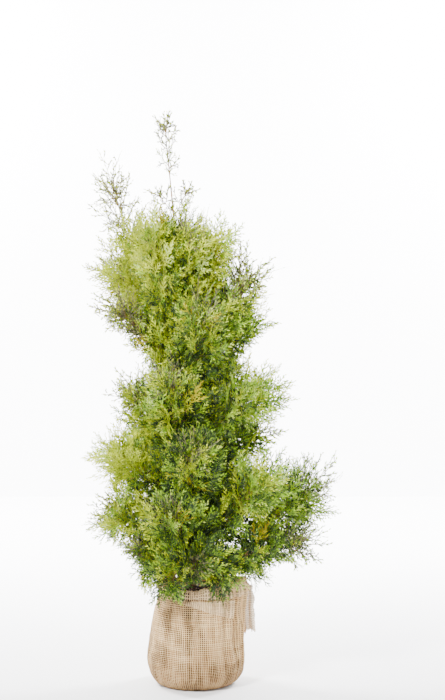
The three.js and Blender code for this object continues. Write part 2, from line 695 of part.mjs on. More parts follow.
// A spray that fits its plume's space: it is tried at full size and then smaller, or left out.
function fittedSpray(spray, plant) {
  for (const size of SPRAY_SIZES) {
    const widthShare = plant.dense ? SPRAY_WIDTH : OPEN_WIDTH;
    const tried = sprayShape({ ...spray, length: spray.length * size }, widthShare);
    if (tried.tests.every((p) => inOwnSpace(p, plant))) return solid(tried.geometry);
  }
  return null;
}

// ---- Assembly --------------------------------------------------------------------------------
const group = new THREE.Group();
group.add(piece("root_ball", rootBall(), HESSIAN));
group.add(piece("hessian_collar", looped(collar()), HESSIAN));
group.add(piece("hessian_corner", foldedCorner(), HESSIAN));
group.add(piece("hessian_knot", knot(), HESSIAN));
group.add(piece("hessian_tail", tail(), HESSIAN));
group.add(piece("soil_top", soilTop(), SOIL));
group.add(piece("trunk", stem(0, SOIL_TOP + GAP), BARK));

const nearStem = stem(GAP, SOIL_TOP - 4);

for (const plant of plants) {
  const { curve, plan } = plant;
  const gapShare = GAP / curve.getLength();
  if (plant.limb > 0) {
    const wood = limb(curve, 0, plant.limb, plant.limbRadius, 5, 3).subtract(nearStem);
    group.add(piece("bough_" + plant.name, wood, BARK));
  }
  const entryRadius = plant.limbRadius(plant.limb ? 1 : 0.2);
  const stemRadiusAt = (s) => entryRadius + (PLUME_TIP_RADIUS - entryRadius) * s;
  const from = plant.onTip ? gapShare * 2 : plant.limb > 0 ? plant.limb + gapShare : 0;
  const parts = [limb(curve, from, plan.stemEnd, stemRadiusAt, 4, 4)];
  if (plant.dense > 0) parts.push(core(plant));
  for (const [leading, ...others] of plan.groups) {
    const made = fittedSpray(leading, plant);
    if (!made) continue;
    parts.push(made, ...others.map((spray) => fittedSpray(spray, plant)).filter(Boolean));
  }
  let mass = wasm.Manifold.union(parts);
  if (!plant.onTip && plant.limb === 0) mass = mass.subtract(nearStem);
  const whole = mass.decompose().sort((a, b) => b.volume() - a.volume())[0];
  group.add(piece("foliage_" + plant.name, whole, FOLIAGE));
}

export default group;
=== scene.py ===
# A young root-balled thuja: a ball of soil wrapped in hessian, one stem, its boughs and its foliage.
# The file follows the plant from the floor up. Blender's units are metres. The sizes here are in
# millimetres, and turn into metres where a mesh is made.
import math

import bpy
import numpy as np
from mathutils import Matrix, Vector, noise


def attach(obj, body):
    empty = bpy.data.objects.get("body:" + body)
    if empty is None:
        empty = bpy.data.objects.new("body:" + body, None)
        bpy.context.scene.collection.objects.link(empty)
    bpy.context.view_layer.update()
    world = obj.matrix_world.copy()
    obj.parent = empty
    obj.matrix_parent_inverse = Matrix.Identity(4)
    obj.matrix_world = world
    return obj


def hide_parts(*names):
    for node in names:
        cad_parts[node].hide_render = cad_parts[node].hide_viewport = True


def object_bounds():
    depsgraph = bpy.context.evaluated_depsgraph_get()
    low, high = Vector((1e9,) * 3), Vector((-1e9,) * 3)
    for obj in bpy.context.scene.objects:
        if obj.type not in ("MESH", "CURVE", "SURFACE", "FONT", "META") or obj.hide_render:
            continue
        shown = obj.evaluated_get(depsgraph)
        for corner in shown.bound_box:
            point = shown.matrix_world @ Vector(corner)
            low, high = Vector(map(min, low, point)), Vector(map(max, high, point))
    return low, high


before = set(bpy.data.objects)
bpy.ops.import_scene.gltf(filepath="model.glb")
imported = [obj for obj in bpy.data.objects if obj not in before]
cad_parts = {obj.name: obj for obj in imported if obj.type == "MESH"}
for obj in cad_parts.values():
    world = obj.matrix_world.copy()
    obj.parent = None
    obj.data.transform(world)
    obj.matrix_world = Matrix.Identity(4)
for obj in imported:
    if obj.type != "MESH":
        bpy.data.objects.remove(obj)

cad_box = [list(map(float, corner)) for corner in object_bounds()]
bpy.ops.object.select_all(action="DESELECT")


# ---- Camera ------------------------------------
# A long lens set square on to the plant, at about two thirds of its height and tipped down a
# little, so that the top of the root ball's cloth and the underside of the leader both show.
eye = bpy.data.cameras.new("eye")
eye.lens = 78.3
camera = bpy.data.objects.new("eye", eye)
camera.location = (0.062, -3.5, 0.875)
camera.rotation_euler = (math.radians(90 - 1.73), 0, 0)
bpy.context.scene.collection.objects.link(camera)
bpy.context.scene.camera = camera


# ---- Light -------------------------------------
# A bright tent of white cloth: a soft key from the upper left, a broad fill from the right, a pair
# of lamps that whitens the board behind, and an even white all round.
def soft_lamp(name, place, aim, size, power):
    lamp = bpy.data.lights.new(name, "AREA")
    lamp.size = size
    lamp.energy = power
    lamp_object = bpy.data.objects.new(name, lamp)
    lamp_object.location = place
    lamp_object.rotation_euler = (Vector(aim) - Vector(place)).to_track_quat("-Z", "Y").to_euler()
    bpy.context.scene.collection.objects.link(lamp_object)


soft_lamp("key", (-1.5, -2.4, 2.6), (0, 0, 0.7), 0.6, 300)
soft_lamp("fill", (2.2, -2.0, 1.2), (0, 0, 0.5), 2.0, 36)
soft_lamp("backdrop_left", (-2.0, 1.7, 2.4), (-0.5, 3.4, 0.9), 1.4, 820)
soft_lamp("backdrop_right", (2.0, 1.7, 2.4), (0.5, 3.4, 0.9), 1.4, 820)
world = bpy.data.worlds.new("tent")
bpy.context.scene.world = world
world.use_nodes = True
world.node_tree.nodes["Background"].inputs["Color"].default_value = (1, 1, 1, 1)
world.node_tree.nodes["Background"].inputs["Strength"].default_value = 0.5


# ---- Floor -------------------------------------
# Two sheets of pale matt board, under the plant and behind it. They aren't part of it, and each one
# shows only from its face, so the plant can be seen from behind. The small class below writes shader
# maths as plain sums, for this finish and all that follow.
BACKDROP_BEHIND = 3.4
SHEET_SIZE = 14


class Wire:
    """One output socket in a material's node tree."""

    def __init__(self, tree, socket=None):
        self.tree = tree
        self.socket = socket

    def node(self, kind, settings=None, sockets=None, out=0):
        made = self.tree.nodes.new("ShaderNode" + kind)
        for setting, value in (settings or {}).items():
            setattr(made, setting, value)
        for place, value in (sockets or {}).items():
            if isinstance(value, Wire):
                self.tree.links.new(value.socket, made.inputs[place])
            else:
                made.inputs[place].default_value = value
        return Wire(self.tree, made.outputs[out])

    def beside(self, out):
        """Another output of the node that this wire leaves."""
        return Wire(self.tree, self.socket.node.outputs[out])

    def maths(self, operation, *others):
        return self.node("Math", {"operation": operation}, dict(enumerate((self, *others))))

    def __add__(self, other):
        return self.maths("ADD", other)

    __radd__ = __add__

    def __sub__(self, other):
        return self.maths("SUBTRACT", other)

    def __rsub__(self, other):
        return self.node("Math", {"operation": "SUBTRACT"}, {0: other, 1: self})

    def __mul__(self, other):
        return self.maths("MULTIPLY", other)

    __rmul__ = __mul__

    def between(self, low, high):
        """0 below low, 1 above high, and a smooth step in the middle."""
        limits = {"From Min": low, "From Max": high}
        return self.node("MapRange", {"interpolation_type": "SMOOTHSTEP"}, {"Value": self, **limits})

    def mixed(self, dull, bright):
        """The first colour where this is 0 and the second where it is 1."""
        return self.node("Mix", {"data_type": "RGBA"}, {0: self, 6: dull, 7: bright}, out=2)


def finish(name, roughness, specular=0.3):
    """A new material, and a wire that starts its shader maths."""
    material = bpy.data.materials.new(name)
    material.use_nodes = True
    shader = material.node_tree.nodes["Principled BSDF"]
    shader.inputs["Roughness"].default_value = roughness
    shader.inputs["Specular IOR Level"].default_value = specular
    return material, shader, Wire(material.node_tree)


def feed(shader, place, wire):
    wire.tree.links.new(wire.socket, shader.inputs[place])


def tone(red, green, blue):
    """A colour as the eye reads it, from 0 to 255, as the linear colour that a shader takes."""
    linear = [((c / 255 + 0.055) / 1.055) ** 2.4 if c > 10 else c / 3300 for c in (red, green, blue)]
    return (*linear, 1)


def new_piece(name):
    """The piece just added, under its own name."""
    piece = bpy.context.object
    piece.name = name
    return piece


bpy.ops.mesh.primitive_plane_add(size=SHEET_SIZE, location=(0, 0, 0))
floor = new_piece("floor")
upright_turn = (math.radians(90), 0, 0)
bpy.ops.mesh.primitive_plane_add(size=SHEET_SIZE, location=(0, BACKDROP_BEHIND, 0), rotation=upright_turn)
backdrop = new_piece("backdrop")
for sheet in (floor, backdrop):
    board, shader, start = finish(sheet.name + "_board", 0.9)
    grain = start.node("TexNoise", {}, {"Scale": 3.0, "Detail": 2.0})
    feed(shader, "Base Color", grain.mixed(tone(238, 238, 240), tone(246, 246, 247)))
    from_behind = start.node("NewGeometry", out=6)
    feed(shader, "Alpha", 1 - from_behind)
    sheet.data.materials.append(board)


# ---- Hessian wrap ------------------------------
# The wrap is one square of plain-woven jute, about 0.7 m a side, drawn up round a ball of moist
# soil. The soil presses it out at the belly, and it is drawn into pleats towards the knot.
MM = 0.001
BALL_HEIGHT = 214
BALL_WIDTH = 224
MOUTH_FROM = 0.94
MOUTH_IN = 3
BELLY_HEIGHT = 66
BALL_NECK = 196
BALL_FOOT = 148
KNOT_BEARING = math.radians(352)
SLACK_TURN = 0.25
PLEATS = 11
PLEAT_DEPTH = 0.7
KNOT_PLEAT_DEPTH = 2.6
CREASES = 11.5
CREASE_DEPTH = 26
DRAG_DEPTH = 3.2
LUMP_DEPTH = 6
TUCK_DEPTH = 6
SMALL_DEPTH = 1.5
GATHERED_OUT = 11
SLACK_IN = 15
THREAD_PITCH = 0.005
YARN_ROUND = 0.62
YARN_OVER = 0.3
CLOTH_UP_THE_SIDE = 0.262
CLOTH_OVER_AN_END = 0.3


def on_circle(turn, radius, z):
    """A place at a height, and at a turn and a distance from the upright through the origin."""
    return Vector((radius * math.cos(turn), radius * math.sin(turn), z))


def ball_radius(z):
    """The ball's radius at a height: a tuck under, a full belly, and straighter sides above."""
    if z < BELLY_HEIGHT:
        tuck = math.sqrt(1 - (1 - z / BELLY_HEIGHT) ** 2.4)
        return BALL_FOOT / 2 + (BALL_WIDTH - BALL_FOOT) / 2 * tuck
    up = min(1, (z - BELLY_HEIGHT) / (BALL_HEIGHT - BELLY_HEIGHT))
    return BALL_NECK / 2 + (BALL_WIDTH - BALL_NECK) / 2 * (1 - up) ** 1.3


def ball_folds(turn, z):
    """Pleats from the knot, drag lines under the collar, lumps of soil, and creases at the tuck."""
    near_knot = (math.cos(turn - KNOT_BEARING) * 0.5 + 0.5) ** 3
    height = min(1, z / BALL_HEIGHT)
    pleats = math.cos(PLEATS * turn + 0.6) * (PLEAT_DEPTH + KNOT_PLEAT_DEPTH * near_knot) * height ** 1.6
    crease = abs(math.sin(CREASES * turn + 0.9 * height + 0.4 * math.sin(5 * height)))
    creases = CREASE_DEPTH * near_knot ** 2 * (crease ** 2 - 0.45) * height ** 1.2
    around = on_circle(turn, 1, 0)
    drag = noise.noise(around * 5.5 + Vector((0, 0, height * 1.1))) * DRAG_DEPTH * height ** 2
    full = math.sin(math.pi * height)
    lumps = noise.noise(around * 2.6 + Vector((7, 0, height * 3.2))) * LUMP_DEPTH * full
    tuck = noise.noise(around * 7 + Vector((0, 4, height * 4))) * TUCK_DEPTH * max(0, 1 - height * 2.6)
    small = noise.noise(around * 14 + Vector((0, 0, height * 12))) * SMALL_DEPTH * min(1, height * 8)
    gathered = GATHERED_OUT * near_knot ** 2 * height ** 4
    slack_side = -SLACK_IN * max(0, -math.cos(turn - SLACK_TURN)) ** 1.4 * height ** 4
    return pleats + creases + drag + lumps + tuck * min(1, z / 12) + small + gathered + slack_side


def lengthwise_cuts(cuts):
    """Cuts the long edges of the upright cylinder that is being shaped into even steps."""
    bpy.ops.object.mode_set(mode="EDIT")
    bpy.ops.mesh.select_mode(type="EDGE")
    bpy.ops.mesh.select_all(action="DESELECT")
    bpy.ops.object.mode_set(mode="OBJECT")
    mesh = bpy.context.object.data
    for edge in mesh.edges:
        low, high = (mesh.vertices[i].co for i in edge.vertices)
        edge.select = abs(high.z - low.z) > 0.9
    bpy.ops.object.mode_set(mode="EDIT")
    bpy.ops.mesh.subdivide(number_cuts=cuts)
    bpy.ops.object.mode_set(mode="OBJECT")


def speckle(where, scale, detail, out=0):
    """Noise over a map of places. Three scales instead of one stretch it."""
    if isinstance(scale, tuple):
        where, scale = where.node("Mapping", {}, {"Vector": where, "Scale": scale}), 1
    return where.node("TexNoise", {}, {"Vector": where, "Scale": scale, "Detail": detail}, out)


def emboss(shader, height, strength, distance):
    """Lets a surface stand out by a height."""
    sizes = {"Strength": strength, "Distance": distance}
    feed(shader, "Normal", height.node("Bump", {}, {"Height": height, **sizes}))


def hessian(name, light, dark, opened):
    """Plain-woven jute read from the piece's own cloth map, in metres: round yarns that pass over
    and under each other, slubs along them, dark holes where they part, and stains of soil."""
    material, shader, start = finish(name, 0.93, 0.1)
    cloth = start.node("TexCoord", out=2)
    wander = speckle(cloth, 38, 2, out=1)
    nudge = start.node("VectorMath", {"operation": "SUBTRACT"}, {0: wander, 1: (0.5, 0.5, 0.5)})
    nudge = start.node("VectorMath", {"operation": "SCALE"}, {0: nudge, "Scale": THREAD_PITCH * 0.9})
    place = start.node("VectorMath", {"operation": "ADD"}, {0: cloth, 1: nudge})
    split = place.node("SeparateXYZ", {}, {0: place})
    across = split * (math.pi / THREAD_PITCH)
    along = split.beside(1) * (math.pi / THREAD_PITCH)
    warp_wave = across.maths("SINE")
    weft_wave = along.maths("SINE")
    warp_round = warp_wave.maths("ABSOLUTE")
    weft_round = weft_wave.maths("ABSOLUTE")
    warp_over = warp_wave.maths("SIGN") * weft_wave
    weft_over = weft_wave.maths("SIGN") * warp_wave
    warp_high = warp_round * YARN_ROUND + warp_over * YARN_OVER
    weft_high = weft_round * YARN_ROUND - weft_over * YARN_OVER
    yarns = warp_high.maths("MAXIMUM", weft_high)
    body = start.node("TexCoord", out=3)
    spread = body.node("SeparateXYZ", {}, {0: body})
    low = spread.beside(2)
    drawn = spread.between(0.0, 0.035) * low.between(0.06, 0.11)
    slack = speckle(cloth, 24, 3)
    bands = speckle(cloth, (52, 13, 1), 2)
    slack = slack.between(0.5 - opened, 0.8 - opened) * (0.25 + bands.between(0.4, 0.6))
    slack = slack * (1 - drawn * 0.85)
    edge = warp_round.maths("MAXIMUM", weft_round) - slack * 0.1
    hole = 1 - edge.between(0.68, 0.88)
    hole = hole * (0.5 + 0.75 * slack)
    slub = speckle(cloth, (1 / THREAD_PITCH, 14, 1), 3)
    cross_slub = speckle(cloth, (14, 1 / THREAD_PITCH, 1), 3)
    straw = (slub + cross_slub) * 0.5
    stain = speckle(body, 11, 5)
    damp = (1 - low.between(0.0, 0.12)) * 0.55 + stain.between(0.45, 0.75) * 0.45
    damp = damp * (1 - drawn * 0.6)
    base = straw.between(0.3, 0.7).mixed(dark, light)
    base = damp.mixed(base, tone(150, 118, 80))
    base = (hole * 1.25).mixed(base, tone(26, 14, 8))
    feed(shader, "Base Color", base)
    height = yarns - hole * 0.8 + straw * 0.35
    emboss(shader, height, 0.7, 0.0014)
    return material


def smooth(degrees):
    """Shades the active piece smooth, apart from edges sharper than this."""
    bpy.ops.object.shade_smooth_by_angle(angle=math.radians(degrees))


def hand_over(piece, body_slot, *nodes):
    """Lets a finished piece ride with the plant and stand for its solids."""
    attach(piece, "root")
    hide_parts(*nodes)


bpy.ops.mesh.primitive_cylinder_add(vertices=260, radius=1, depth=1, end_fill_type="TRIFAN")
wrap = new_piece("hessian_wrap")
lengthwise_cuts(96)
mesh = wrap.data
for vertex in mesh.vertices:
    turn = math.atan2(vertex.co.y, vertex.co.x)
    share = vertex.co.z + 0.5
    at_pole = math.hypot(vertex.co.x, vertex.co.y) < 0.5
    z = BALL_HEIGHT * (share ** 1.15)
    inwards = MOUTH_IN * max(0, share - MOUTH_FROM) / (1 - MOUTH_FROM)
    radius = 0 if at_pole else ball_radius(z) + ball_folds(turn, z) - inwards
    vertex.co = on_circle(turn, radius, z) * MM
cloth_map = mesh.uv_layers.active.data
for face in mesh.polygons:
    on_side = len(face.vertices) == 4
    for loop in face.loop_indices:
        u, v = cloth_map[loop].uv
        if on_side:
            cloth_map[loop].uv = (u * math.pi * BALL_WIDTH * MM, (v - 0.5) * 2 * CLOTH_UP_THE_SIDE)
        else:
            cloth_map[loop].uv = (u * CLOTH_OVER_AN_END, v * CLOTH_OVER_AN_END)
smooth(60)
wrap.data.materials.append(hessian("jute_wrap", tone(228, 193, 140), tone(184, 144, 96), 0.24))
hand_over(wrap, "hessian", "root_ball")


# ---- Gathered collar ---------------------------
# The square's edge, turned over and gathered round the stem. It stands in slack ruffles above the
# soil, highest beside the knot.
COLLAR_MIDDLE = 90
COLLAR_SUNK = 7
COLLAR_HIGH = 10
RUFFLE = 9
FINE_RUFFLE = 3.4
CREST = 5


def cloth_size(piece, width, drop):
    """Turns a piece's cloth map from shares into metres."""
    for loop in piece.data.uv_layers.active.data:
        loop.uv = (loop.uv.x * width, loop.uv.y * drop)


bpy.ops.mesh.primitive_torus_add(major_segments=300, minor_segments=22, major_radius=1, minor_radius=0.25)
collar = new_piece("hessian_collar_ruffle")
for vertex in collar.data.vertices:
    turn = math.atan2(vertex.co.y, vertex.co.x)
    out = math.hypot(vertex.co.x, vertex.co.y) - 1
    section = math.atan2(vertex.co.z, out)
    squared = math.copysign(abs(math.cos(section)) ** 0.55, math.cos(section))
    wave = math.sin(5 * turn + 1) + 0.6 * math.sin(9 * turn)
    near_knot = (0.5 + 0.5 * math.cos(turn - KNOT_BEARING)) ** 4
    high = COLLAR_HIGH + 1.6 * wave + 3.5 * near_knot
    rise = 0.5 + 0.5 * math.copysign(abs(math.sin(section)) ** 0.7, math.sin(section))
    around = on_circle(turn, 1, 0)
    ruffle = noise.noise(around * 14) * RUFFLE + noise.noise(around * 31) * FINE_RUFFLE
    thick = 9.0 - 5.6 * rise
    fold = ball_folds(turn, BALL_HEIGHT)
    radius = COLLAR_MIDDLE + thick * squared + (fold if squared > 0 else 0) + ruffle * rise
    crest = noise.noise(around * 19 + Vector((0, 0, rise * 2))) * CREST * rise
    z = BALL_HEIGHT - COLLAR_SUNK + (2 * high + 5) * rise + crest
    vertex.co = on_circle(turn, radius, z) * MM
cloth_size(collar, 0.62, 0.085)
smooth(60)
jute_edge = hessian("jute_edge", tone(234, 204, 158), tone(194, 160, 116), 0.12)
collar.data.materials.append(jute_edge)
hand_over(collar, "hessian", "hessian_collar")


# ---- Folded corner -----------------------------
# One corner of the square, folded down over the front with its point to the left. It is the same
# jute, and the pull of the knot holds it.
CORNER_FROM = 258
CORNER_TURN = 63
CORNER_TOP = 206
CORNER_LOW = 198
CORNER_FALL = 36


def thicken(sheet, thickness, offset):
    """Turns a sheet's faces the same way and gives it its thickness."""
    bpy.ops.object.mode_set(mode="EDIT")
    bpy.ops.mesh.select_all(action="SELECT")
    bpy.ops.mesh.normals_make_consistent(inside=False)
    bpy.ops.object.mode_set(mode="OBJECT")
    solid = sheet.modifiers.new("thickness", "SOLIDIFY")
    solid.thickness = thickness
    solid.offset = offset
    bpy.ops.object.modifier_apply(modifier="thickness")


def cloth_sheet(name, columns, rows, thickness, place_of, finish_of, width, drop):
    """A sheet of cloth from a flat grid: place_of gives each point's place from its two shares."""
    bpy.ops.mesh.primitive_grid_add(x_subdivisions=columns, y_subdivisions=rows, size=2)
    sheet = new_piece(name)
    for vertex in sheet.data.vertices:
        share, down = vertex.co.x * 0.5 + 0.5, 0.5 - vertex.co.y * 0.5
        vertex.co = Vector(place_of(share, down)) * MM
    cloth_size(sheet, width, drop)
    thicken(sheet, thickness, 0)
    smooth(50)
    sheet.data.materials.append(finish_of)
    return sheet


def corner_place(share, down):
    """The corner's cloth: over the ball's folds, narrow at its point and deep under the knot."""
    turn = math.radians(CORNER_FROM + CORNER_TURN * share)
    low = CORNER_LOW - CORNER_FALL * share
    z = CORNER_TOP - (CORNER_TOP - low) * down
    lift = 2.1 + 1.2 * math.sin(math.pi * down) + 0.8 * math.sin(14 * share + 3 * down) * down
    radius = ball_radius(z) + ball_folds(turn, z) + lift
    return on_circle(turn, radius, z)


corner = cloth_sheet("hessian_corner_fold", 70, 24, 0.0016, corner_place, jute_edge, 0.12, 0.05)
hand_over(corner, "hessian", "hessian_corner")


# ---- Knot and tail -----------------------------
# The ends of the square are twisted into a lump at the upper right and tied. Below it the rest
# of the cloth hangs down behind as a pleated tail with a raw edge.
KNOT_HEIGHT = 213
KNOT_SIZE = (16, 12, 21)
KNOT_INWARDS = 13
TAIL_X = 123
TAIL_Y = 14
TAIL_TOP = 224
TAIL_LENGTH = 106
FRAY = 3
UNEVEN = 12
RAGGED = 11
bpy.ops.mesh.primitive_uv_sphere_add(segments=64, ring_count=40, radius=1)
knot = new_piece("hessian_knot_twist")
for vertex in knot.data.vertices:
    x, y, z = vertex.co
    turn = math.atan2(y, x)
    twist = math.cos(5 * turn + 3.2 * z)
    lump = noise.noise(Vector((x, y, z)) * 1.7) * 0.22
    size = 1 + 0.13 * twist * (1 - z * z) + lump
    waist = 1 - 0.3 * math.exp(-((z + 0.25) / 0.22) ** 2)
    place = [full * way * size for full, way in zip(KNOT_SIZE, (x * waist, y * waist, z))]
    vertex.co = (Vector(place) + Vector((TAIL_X - KNOT_INWARDS, TAIL_Y, KNOT_HEIGHT))) * MM
cloth_size(knot, 0.08, 0.05)
smooth(70)
knot.data.materials.append(jute_edge)
hand_over(knot, "hessian", "hessian_knot")


def tail_place(share, down):
    """The tail's cloth: pleated, wider towards its end, with frayed sides and a ragged edge."""
    across = share * 2 - 1
    width = 8.5 + 7 * down ** 0.7
    fold = (1.5 + 3 * down) * math.sin(6 * across + 1.4 * math.sin(3.4 * down) + 2 * share * down)
    sway = 1.5 * math.sin(3.4 * down + 0.5) - 3.5 * (1 - down)
    side = math.copysign(1, across)
    waver = noise.noise(Vector((side, down * 5, 1))) * 4
    frayed = waver + noise.noise(Vector((side, down * 19, 1))) * FRAY * abs(across) ** 9
    uneven = noise.noise(Vector((across * 2.6, 0, 5))) * UNEVEN
    ragged = uneven + noise.noise(Vector((across * 14, 0, 2))) * RAGGED * down ** 8
    z = TAIL_TOP - TAIL_LENGTH * down + ragged * down ** 2
    return TAIL_X + 1 + across * (width + frayed) + sway, TAIL_Y + 2 + 0.3 * across * width + fold, z


jute_tail = hessian("jute_tail", tone(252, 236, 214), tone(226, 198, 162), 0.04)
tail = cloth_sheet("hessian_tail_pleats", 64, 90, 0.0014, tail_place, jute_tail, 0.09, 0.1)
hand_over(tail, "hessian", "hessian_tail")


# ---- Soil --------------------------------------
# The crumbly top of the ball, dark and fibrous, with small clods that stand out of it.
SOIL_TOP = 226
SOIL_RADIUS = 74
CLOD = 2.6
CRUMB = 1.6
bpy.ops.mesh.primitive_circle_add(vertices=72, radius=1, fill_type="TRIFAN")
soil = new_piece("soil_crumbs")
bpy.ops.object.mode_set(mode="EDIT")
bpy.ops.mesh.select_all(action="SELECT")
bpy.ops.mesh.subdivide(number_cuts=14)
bpy.ops.object.mode_set(mode="OBJECT")
for vertex in soil.data.vertices:
    x, y = vertex.co.x, vertex.co.y
    out = math.hypot(x, y)
    clods = noise.noise(Vector((x, y, 0)) * 9) * CLOD + noise.noise(Vector((x, y, 3)) * 24) * CRUMB
    z = BALL_HEIGHT - 3 + (SOIL_TOP - BALL_HEIGHT) * (1 - out ** 3) + clods * (1 - 0.5 * out)
    vertex.co = Vector((x * SOIL_RADIUS, y * SOIL_RADIUS, z)) * MM
thicken(soil, 0.004, -1)
smooth(35)
loam, shader, start = finish("loam", 0.97, 0.1)
where = start.node("TexCoord", out=3)
crumbs = speckle(where, 210, 6)
feed(shader, "Base Color", crumbs.between(0.35, 0.7).mixed(tone(46, 32, 24), tone(104, 76, 56)))
emboss(shader, crumbs, 0.8, 0.002)
soil.data.materials.append(loam)
hand_over(soil, "soil", "soil_top")


# ---- Trunk -------------------------------------
# One thin stem with a flare where it leaves the soil. Its bark is thin, red-brown, and parts in
# long upright strips.
HEIGHT = 1317
STEM_FOOT_X = -11
STEM_LEAN = -63
STEM_BOW = 16
STEM_SWAY = 9
STEM_TOP = 1196
STEM_RADIUS = 7.4
STEM_TIP_RADIUS = 1.3
FLARE = 5.5
FLARE_HEIGHT = 26
TRUNK_SIDES = 30
TRUNK_CUTS = 330
BARK_DEPTH = 0.16


def stem_at(z):
    """The middle of the stem at a height: it leans, bows and sways."""
    share = (z - SOIL_TOP) / (HEIGHT - SOIL_TOP)
    lean = STEM_FOOT_X + STEM_LEAN * share + STEM_BOW * math.sin(math.pi * share)
    return Vector((lean, STEM_SWAY * math.sin(2 * math.pi * share), z))


def stem_radius(z):
    """The stem's radius at a height: a taper, and a flare at the soil."""
    share = (z - SOIL_TOP) / (STEM_TOP - SOIL_TOP)
    taper = STEM_RADIUS + (STEM_TIP_RADIUS - STEM_RADIUS) * max(0, share) ** 0.85
    return taper + FLARE * math.exp(-(z - SOIL_TOP) / (FLARE_HEIGHT / 2))


def bark_relief(turn, z, radius):
    """How far the bark stands out: long strips that part and join up the stem."""
    around = on_circle(turn, 2.4, z * 0.018)
    strips = noise.noise(around * 2.1) + 0.5 * noise.noise(around * 4.7)
    return radius * BARK_DEPTH * strips


bpy.ops.mesh.primitive_cylinder_add(vertices=TRUNK_SIDES, radius=1, depth=1, end_fill_type="TRIFAN")
trunk = new_piece("trunk_bark")
lengthwise_cuts(TRUNK_CUTS)
for vertex in trunk.data.vertices:
    turn = math.atan2(vertex.co.y, vertex.co.x)
    at_pole = math.hypot(vertex.co.x, vertex.co.y) < 0.5
    z = SOIL_TOP - 2 + (STEM_TOP + 4 - SOIL_TOP) * (vertex.co.z + 0.5)
    radius = stem_radius(max(z, SOIL_TOP))
    radius = 0 if at_pole else radius + bark_relief(turn, z, radius)
    vertex.co = (on_circle(turn, radius, 0) + stem_at(z)) * MM
smooth(60)


def bark(name, dark, light, green):
    """Fibrous bark: upright streaks between two browns, with a green cast on the young wood."""
    material, shader, start = finish(name, 0.85, 0.2)
    where = start.node("TexCoord", out=3)
    streaks = speckle(where, (420, 420, 45), 4)
    patches = speckle(where, 26, 2)
    brown = streaks.between(0.36, 0.66).mixed(dark, light)
    feed(shader, "Base Color", (patches.between(0.5, 0.75) * green).mixed(brown, tone(116, 118, 70)))
    emboss(shader, streaks, 0.6, 0.0008)
    return material


trunk.data.materials.append(bark("stem_bark", tone(92, 64, 46), tone(158, 118, 86), 0.25))
hand_over(trunk, "bark", "trunk")


# ---- Boughs ------------------------------------
# Woody limbs that rise from the stem all round. Each one tapers to where its foliage begins. A mass
# with no limb of its own springs from the stem itself.
#
# A row gives the height of its foot on the stem, its bearing in degrees, its reach, the height of its
# tip, the sweep and lift of its bend, the shares of it where the foliage begins and where that grows
# thin, and the spread and the number of its own fans of twigs.
BOUGHS = {
    "left_apron": (262, 200, 124, 208, 0.84, -1.1, 0, 0, 70, 1),
    "front_apron": (247, 249, 156, 172, 0.74, -1.0, 0, 0, 92, 2),
    "right_apron": (250, 14, 196, 244, 0.6, -5.5, 0.12, 0.78, 90, 3),
    "front_foot": (258, 276, 172, 266, 0.6, 9, 0, 0.78, 96, 3),
    "back_foot": (262, 104, 152, 336, 0.6, 0.7, 0, 0.74, 90, 3),
    "left_foot": (270, 196, 160, 322, 0.6, 0.8, 0, 0.74, 86, 2),
    "right_low": (268, 352, 318, 350, 0.55, 0.5, 0.2, 0.68, 84, 3),
    "right_sail": (296, 6, 340, 514, 0.74, 0.38, 0.2, 0.78, 122, 3),
    "left_low": (322, 178, 232, 414, 0.6, 0.62, 0.14, 0.74, 114, 3),
    "front_low": (312, 252, 168, 456, 0.7, 0.4, 0, 0.76, 108, 3),
    "right_inner": (334, 334, 238, 556, 0.62, 0.36, 0.14, 0.74, 108, 3),
    "back_low": (350, 58, 212, 496, 0.66, 0.35, 0.16, 0.74, 112, 3),
    "left_mid": (404, 190, 222, 572, 0.6, 0.6, 0.16, 0.72, 118, 3),
    "front_mid": (424, 272, 172, 604, 0.7, 0.36, 0.14, 0.76, 110, 3),
    "back_mid": (446, 128, 196, 630, 0.7, 0.36, 0.16, 0.74, 112, 3),
    "right_mid": (452, 14, 194, 628, 0.6, 0.5, 0.14, 0.76, 112, 3),
    "left_waist": (494, 174, 168, 724, 0.5, 0.6, 0.14, 0.76, 114, 3),
    "right_waist": (540, 350, 242, 708, 0.42, 0.74, 0.16, 0.76, 110, 3),
    "front_waist": (558, 252, 146, 770, 0.7, 0.4, 0, 0.76, 108, 3),
    "back_waist": (584, 60, 174, 792, 0.7, 0.4, 0, 0.74, 108, 3),
    "left_shoulder": (672, 194, 214, 888, 0.4, 0.74, 0.14, 0.7, 76, 3),
    "right_shoulder": (650, 4, 192, 872, 0.42, 0.72, 0.14, 0.76, 108, 3),
    "front_shoulder": (690, 290, 146, 930, 0.72, 0.4, 0, 0.76, 106, 3),
    "back_shoulder": (708, 122, 132, 920, 0.72, 0.42, 0, 0.74, 98, 3),
    "left_crown": (738, 168, 206, 1014, 0.5, 0.64, 0.14, 0.76, 110, 3),
    "right_shoot": (742, 350, 148, 1030, 0.96, 0.32, 0.2, 0.7, 98, 3),
    "back_crown": (764, 64, 138, 1030, 0.72, 0.42, 0, 0.74, 102, 3),
    "front_crown": (800, 228, 108, 1118, 0.8, 0.46, 0, 0.74, 104, 3),
    "right_crown": (834, 340, 96, 1100, 0.74, 0.4, 0, 0.74, 98, 3),
    "left_plume": (862, 182, 176, 1230, 0.84, 0.44, 0.14, 0.58, 92, 3),
    "front_top": (884, 288, 70, 1098, 0.78, 0.4, 0, 0.76, 94, 2),
    "leader_left": (1086, 190, 42, 1148, 0.7, 0.4, 0, 0, 46, 1),
    "leader_right": (1072, 4, 44, 1160, 0.5, 0.5, 0, 0, 48, 1),
    "corner_apron": (243, 303, 156, 174, 0.78, -1.5, 0, 0, 80, 2),
}
BOUGH_SHARE = 0.58
BOUGH_TAPER = 0.62
BOUGH_BEGIN = 0.01
